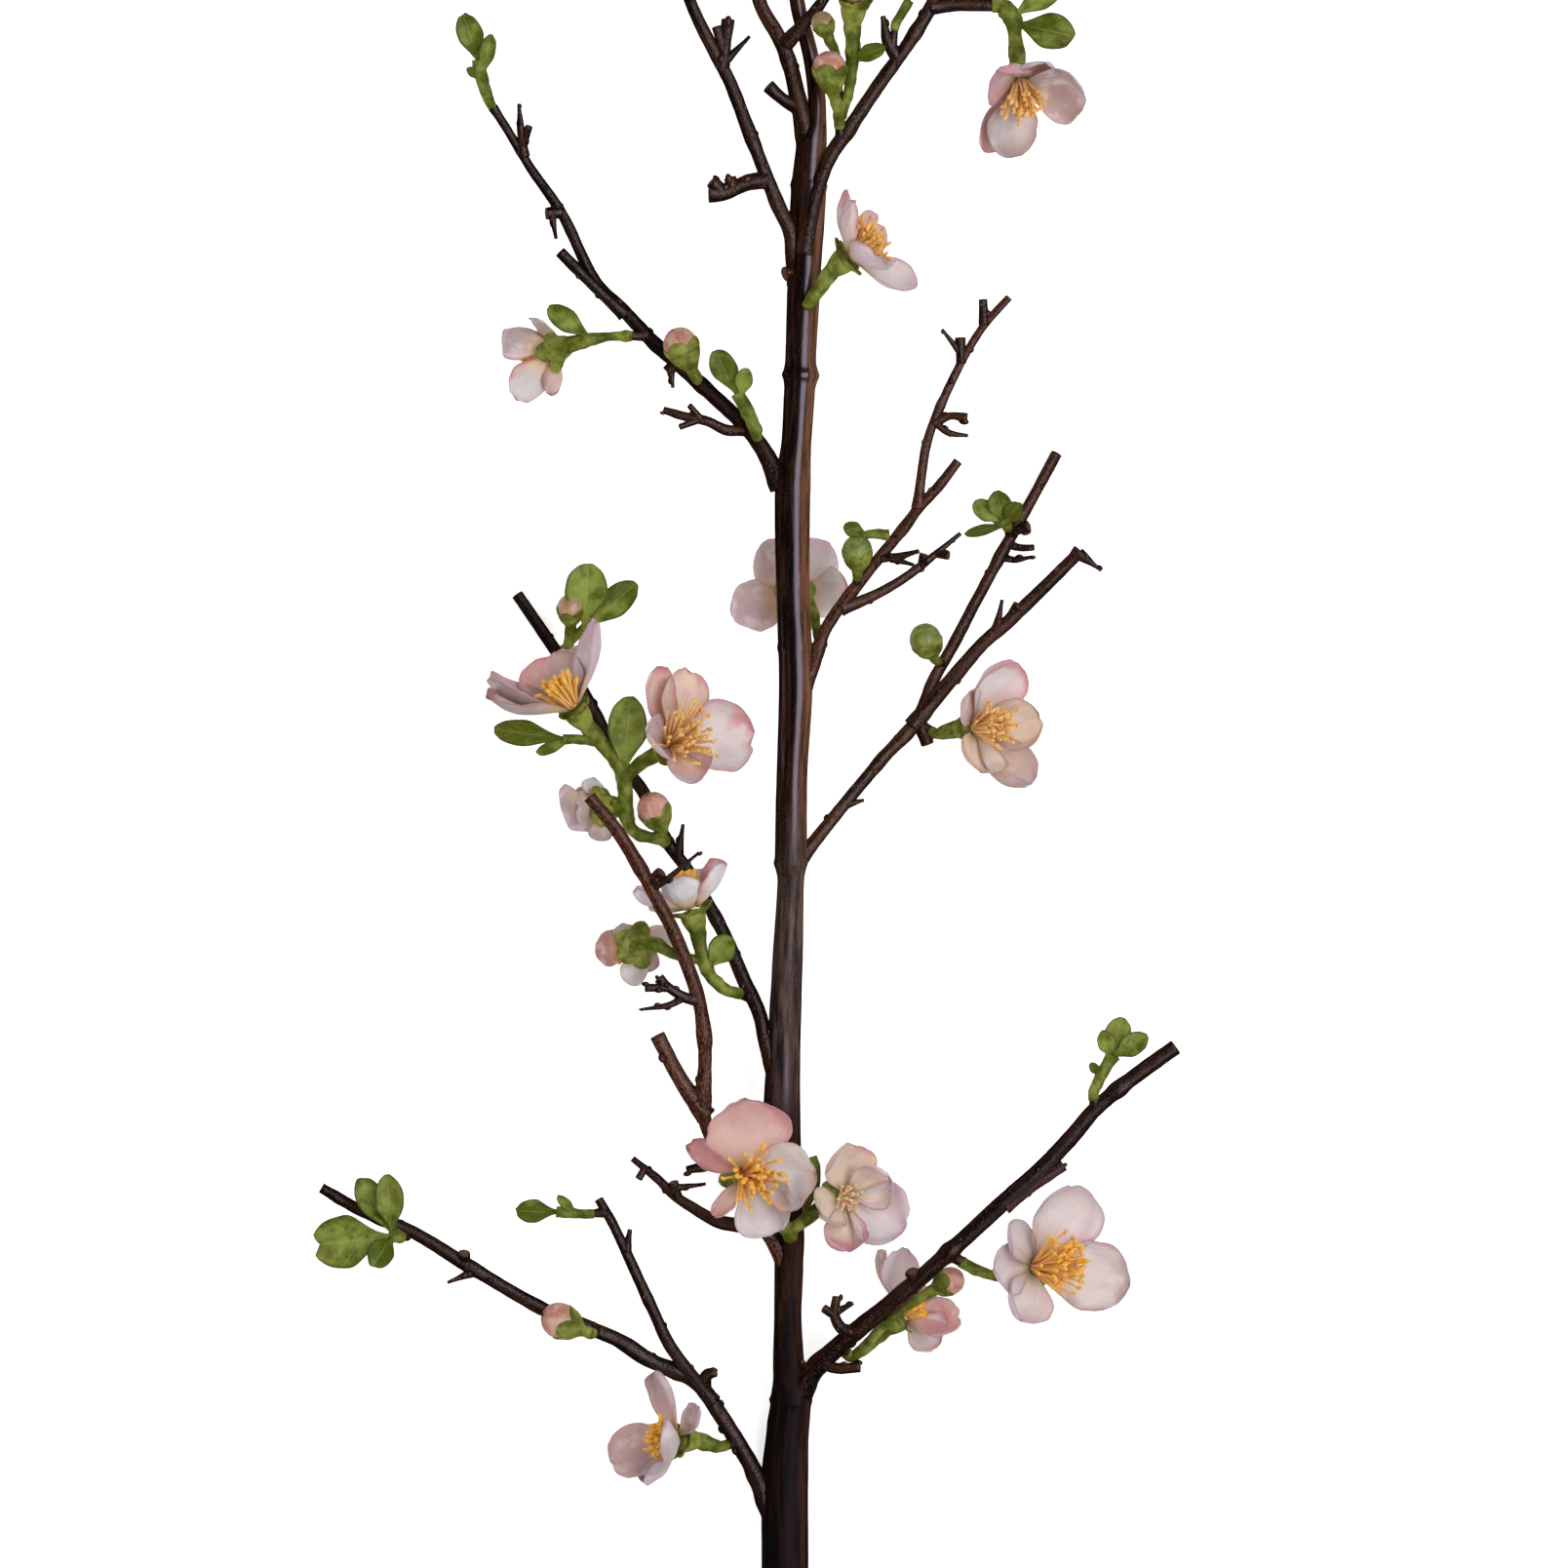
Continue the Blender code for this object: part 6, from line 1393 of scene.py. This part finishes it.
def green_material(name, veined):
    """Fresh green tissue: smooth stalks, or leaves with a pale midrib, side veins and dark rims."""
    look = Nodes(bpy.data.materials.new(name))
    cloud = look.place().noise(190.0, 5.0, 0.6)
    fine = look.place().noise(1200.0, 3.0, 0.6)
    bright = cloud + (look.attribute("shade") - 0.5) * 0.35
    deep = (0.070, 0.100, 0.004) if veined else (0.070, 0.088, 0.003)
    fresh = (0.265, 0.315, 0.060) if veined else (0.310, 0.335, 0.065)
    colour = look.mix(bright.span(0.34, 0.72), deep, fresh)
    if veined:
        blush = look.place().noise(60.0, 3.0, 0.6)
        colour = colour.under(blush.span(0.52, 0.7) * 0.55, (0.16, 0.11, 0.012))
        blade_place = look.attribute("blade", "Vector")
        along = blade_place.part(0)
        across = abs(blade_place.part(1))
        side = (along * 38.0 - across * 13.0).sine().span(0.82, 1.0)
        vein = (1.0 - across.span(0.02, 0.10)).larger(side * 0.5)
        rim = across.span(0.8, 1.0).larger(along.span(0.88, 1.0))
        colour = colour.under(vein * 0.3, (0.36, 0.42, 0.10))
        colour = colour.under(rim * 0.75, (0.035, 0.045, 0.006))
        height = vein * -0.8 + fine * 0.5
    else:
        colour = colour.under(fine.span(0.55, 0.75) * 0.3, (0.30, 0.36, 0.10))
        height = fine
    look.set(Base_Color=colour, Roughness=0.42, Subsurface_Weight=0.1, Subsurface_Scale=0.001,
             Subsurface_Radius=(0.4, 1.0, 0.2), Specular_IOR_Level=0.2)
    look.bump(height, 0.45, 0.0005)
    return look.owner


def bud_material():
    """Tightly wrapped bud petals: salmon or green, red-brown at the base and tip, with fine veins."""
    look = Nodes(bpy.data.materials.new("bud"))
    blade_place = look.attribute("blade", "Vector")
    along = blade_place.part(0)
    cloud = look.place().noise(330.0, 4.0, 0.55)
    pink = look.mix(cloud.span(0.35, 0.7), (0.54, 0.20, 0.15), (0.74, 0.43, 0.35))
    pink = pink.under(along.span(0.3, 0.0) * 0.7, (0.34, 0.09, 0.05))
    pink = pink.under(along.span(0.75, 1.0) * 0.5, (0.36, 0.11, 0.10))
    green = look.mix(cloud.span(0.35, 0.7), (0.12, 0.15, 0.02), (0.28, 0.31, 0.07))
    colour = green.under(look.attribute("tint"), pink)
    veins = blade_place.scaled(1.0, 7.0, 0.0).noise(1.8, 4.0, 0.6, 0.3)
    colour = colour.under(veins.span(0.52, 0.72) * 0.2, (0.50, 0.20, 0.16))
    look.set(Base_Color=colour, Roughness=0.42, Subsurface_Weight=0.25, Subsurface_Scale=0.0015,
             Subsurface_Radius=(1.0, 0.5, 0.4), Sheen_Weight=0.1)
    look.bump(veins, 0.25, 0.0002)
    return look.owner


def pale_surface():
    """The plain surface that the branch lies on."""
    mesh = bpy.data.meshes.new("surface")
    signs = ((-1, -1), (1, -1), (1, 1), (-1, 1))
    corners = [(x * SURFACE_REACH, y * SURFACE_REACH, 0) for x, y in signs]
    mesh.from_pydata(corners, [], [(0, 1, 2, 3)])
    look = Nodes(bpy.data.materials.new("surface"))
    look.set(Base_Color=(0.93, 0.93, 0.93), Roughness=0.9, Specular_IOR_Level=0.0,
             Emission_Color=(1.0, 1.0, 1.0), Emission_Strength=FLOOR_GLOW)
    mesh.materials.append(look.owner)
    floor = placed("surface", mesh)
    floor.visible_glossy = False


def soft_light():
    """A white sky, weaker overhead than at its rim, and two wide lights."""
    world = bpy.data.worlds.new("soft_sky")
    bpy.context.scene.world = world
    look = Nodes(world, "Background")
    height = look.node("TexCoord", "Generated", {}).part("Z")
    fade = {"Value": height, "From Min": 0.2, "From Max": 1.0, "To Min": SKY_RIM, "To Max": SKY_TOP}
    strength = look.node("MapRange", "Result", fade)
    look.set(Color=(1.0, 1.0, 1.0), Strength=strength)
    world.cycles_visibility.glossy = False
    for name, place, power, wide, tall in LIGHTS:
        light = bpy.data.lights.new(name, "AREA")
        light.shape = "RECTANGLE"
        light.energy = power
        light.size = wide
        light.size_y = tall
        lamp = placed(name, light)
        lamp.visible_glossy = name == "key"
        lamp.location = place
        lamp.rotation_euler = (0.0, math.atan2(place[0], place[2]), 0.0)


def camera_above():
    """A camera that looks straight down from far off, as in the photo."""
    camera = bpy.data.cameras.new("camera")
    camera.sensor_width = SENSOR_WIDTH
    camera.lens = SENSOR_WIDTH * (VIEW_HEIGHT - VIEW_LEVEL) / VIEW_WIDTH
    camera.clip_end = 20.0
    eye = placed("camera", camera)
    eye.location = (VIEW_CENTRE[0] * MM, VIEW_CENTRE[1] * MM, VIEW_HEIGHT * MM)
    scene = bpy.context.scene
    scene.camera = eye
    scene.view_settings.view_transform = "Standard"


def dress():
    """Every visible piece of the branch."""
    green = green_material("stalk", False)
    leafy = green_material("leaf", True)
    petal = petal_material()
    stamen = stamen_material()
    rosy = bud_material()
    bark_pieces(bark_material("stem_bark", True), bark_material("bark", False))
    for name, plan in SPRIGS.items():
        sprig_pieces(name, plan, green, leafy, rosy)
    for number, bloom in BLOOMS.items():
        petal_piece(number, bloom, petal)
        if number != BLOOM_WITHOUT_STAMENS:
            stamen_piece(number, bloom, stamen)
    for number, bud in BUDS.items():
        if bud.pink:
            bud_piece(number, bud, rosy, f"bud_{number:02d}")


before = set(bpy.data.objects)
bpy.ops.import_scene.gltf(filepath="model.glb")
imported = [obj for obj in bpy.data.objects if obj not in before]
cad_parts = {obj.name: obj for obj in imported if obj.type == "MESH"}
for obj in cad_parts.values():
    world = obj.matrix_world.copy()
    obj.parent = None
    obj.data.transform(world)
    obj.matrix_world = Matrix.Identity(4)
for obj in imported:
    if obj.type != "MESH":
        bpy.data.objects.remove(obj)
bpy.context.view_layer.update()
dress()
pale_surface()
soft_light()
camera_above()
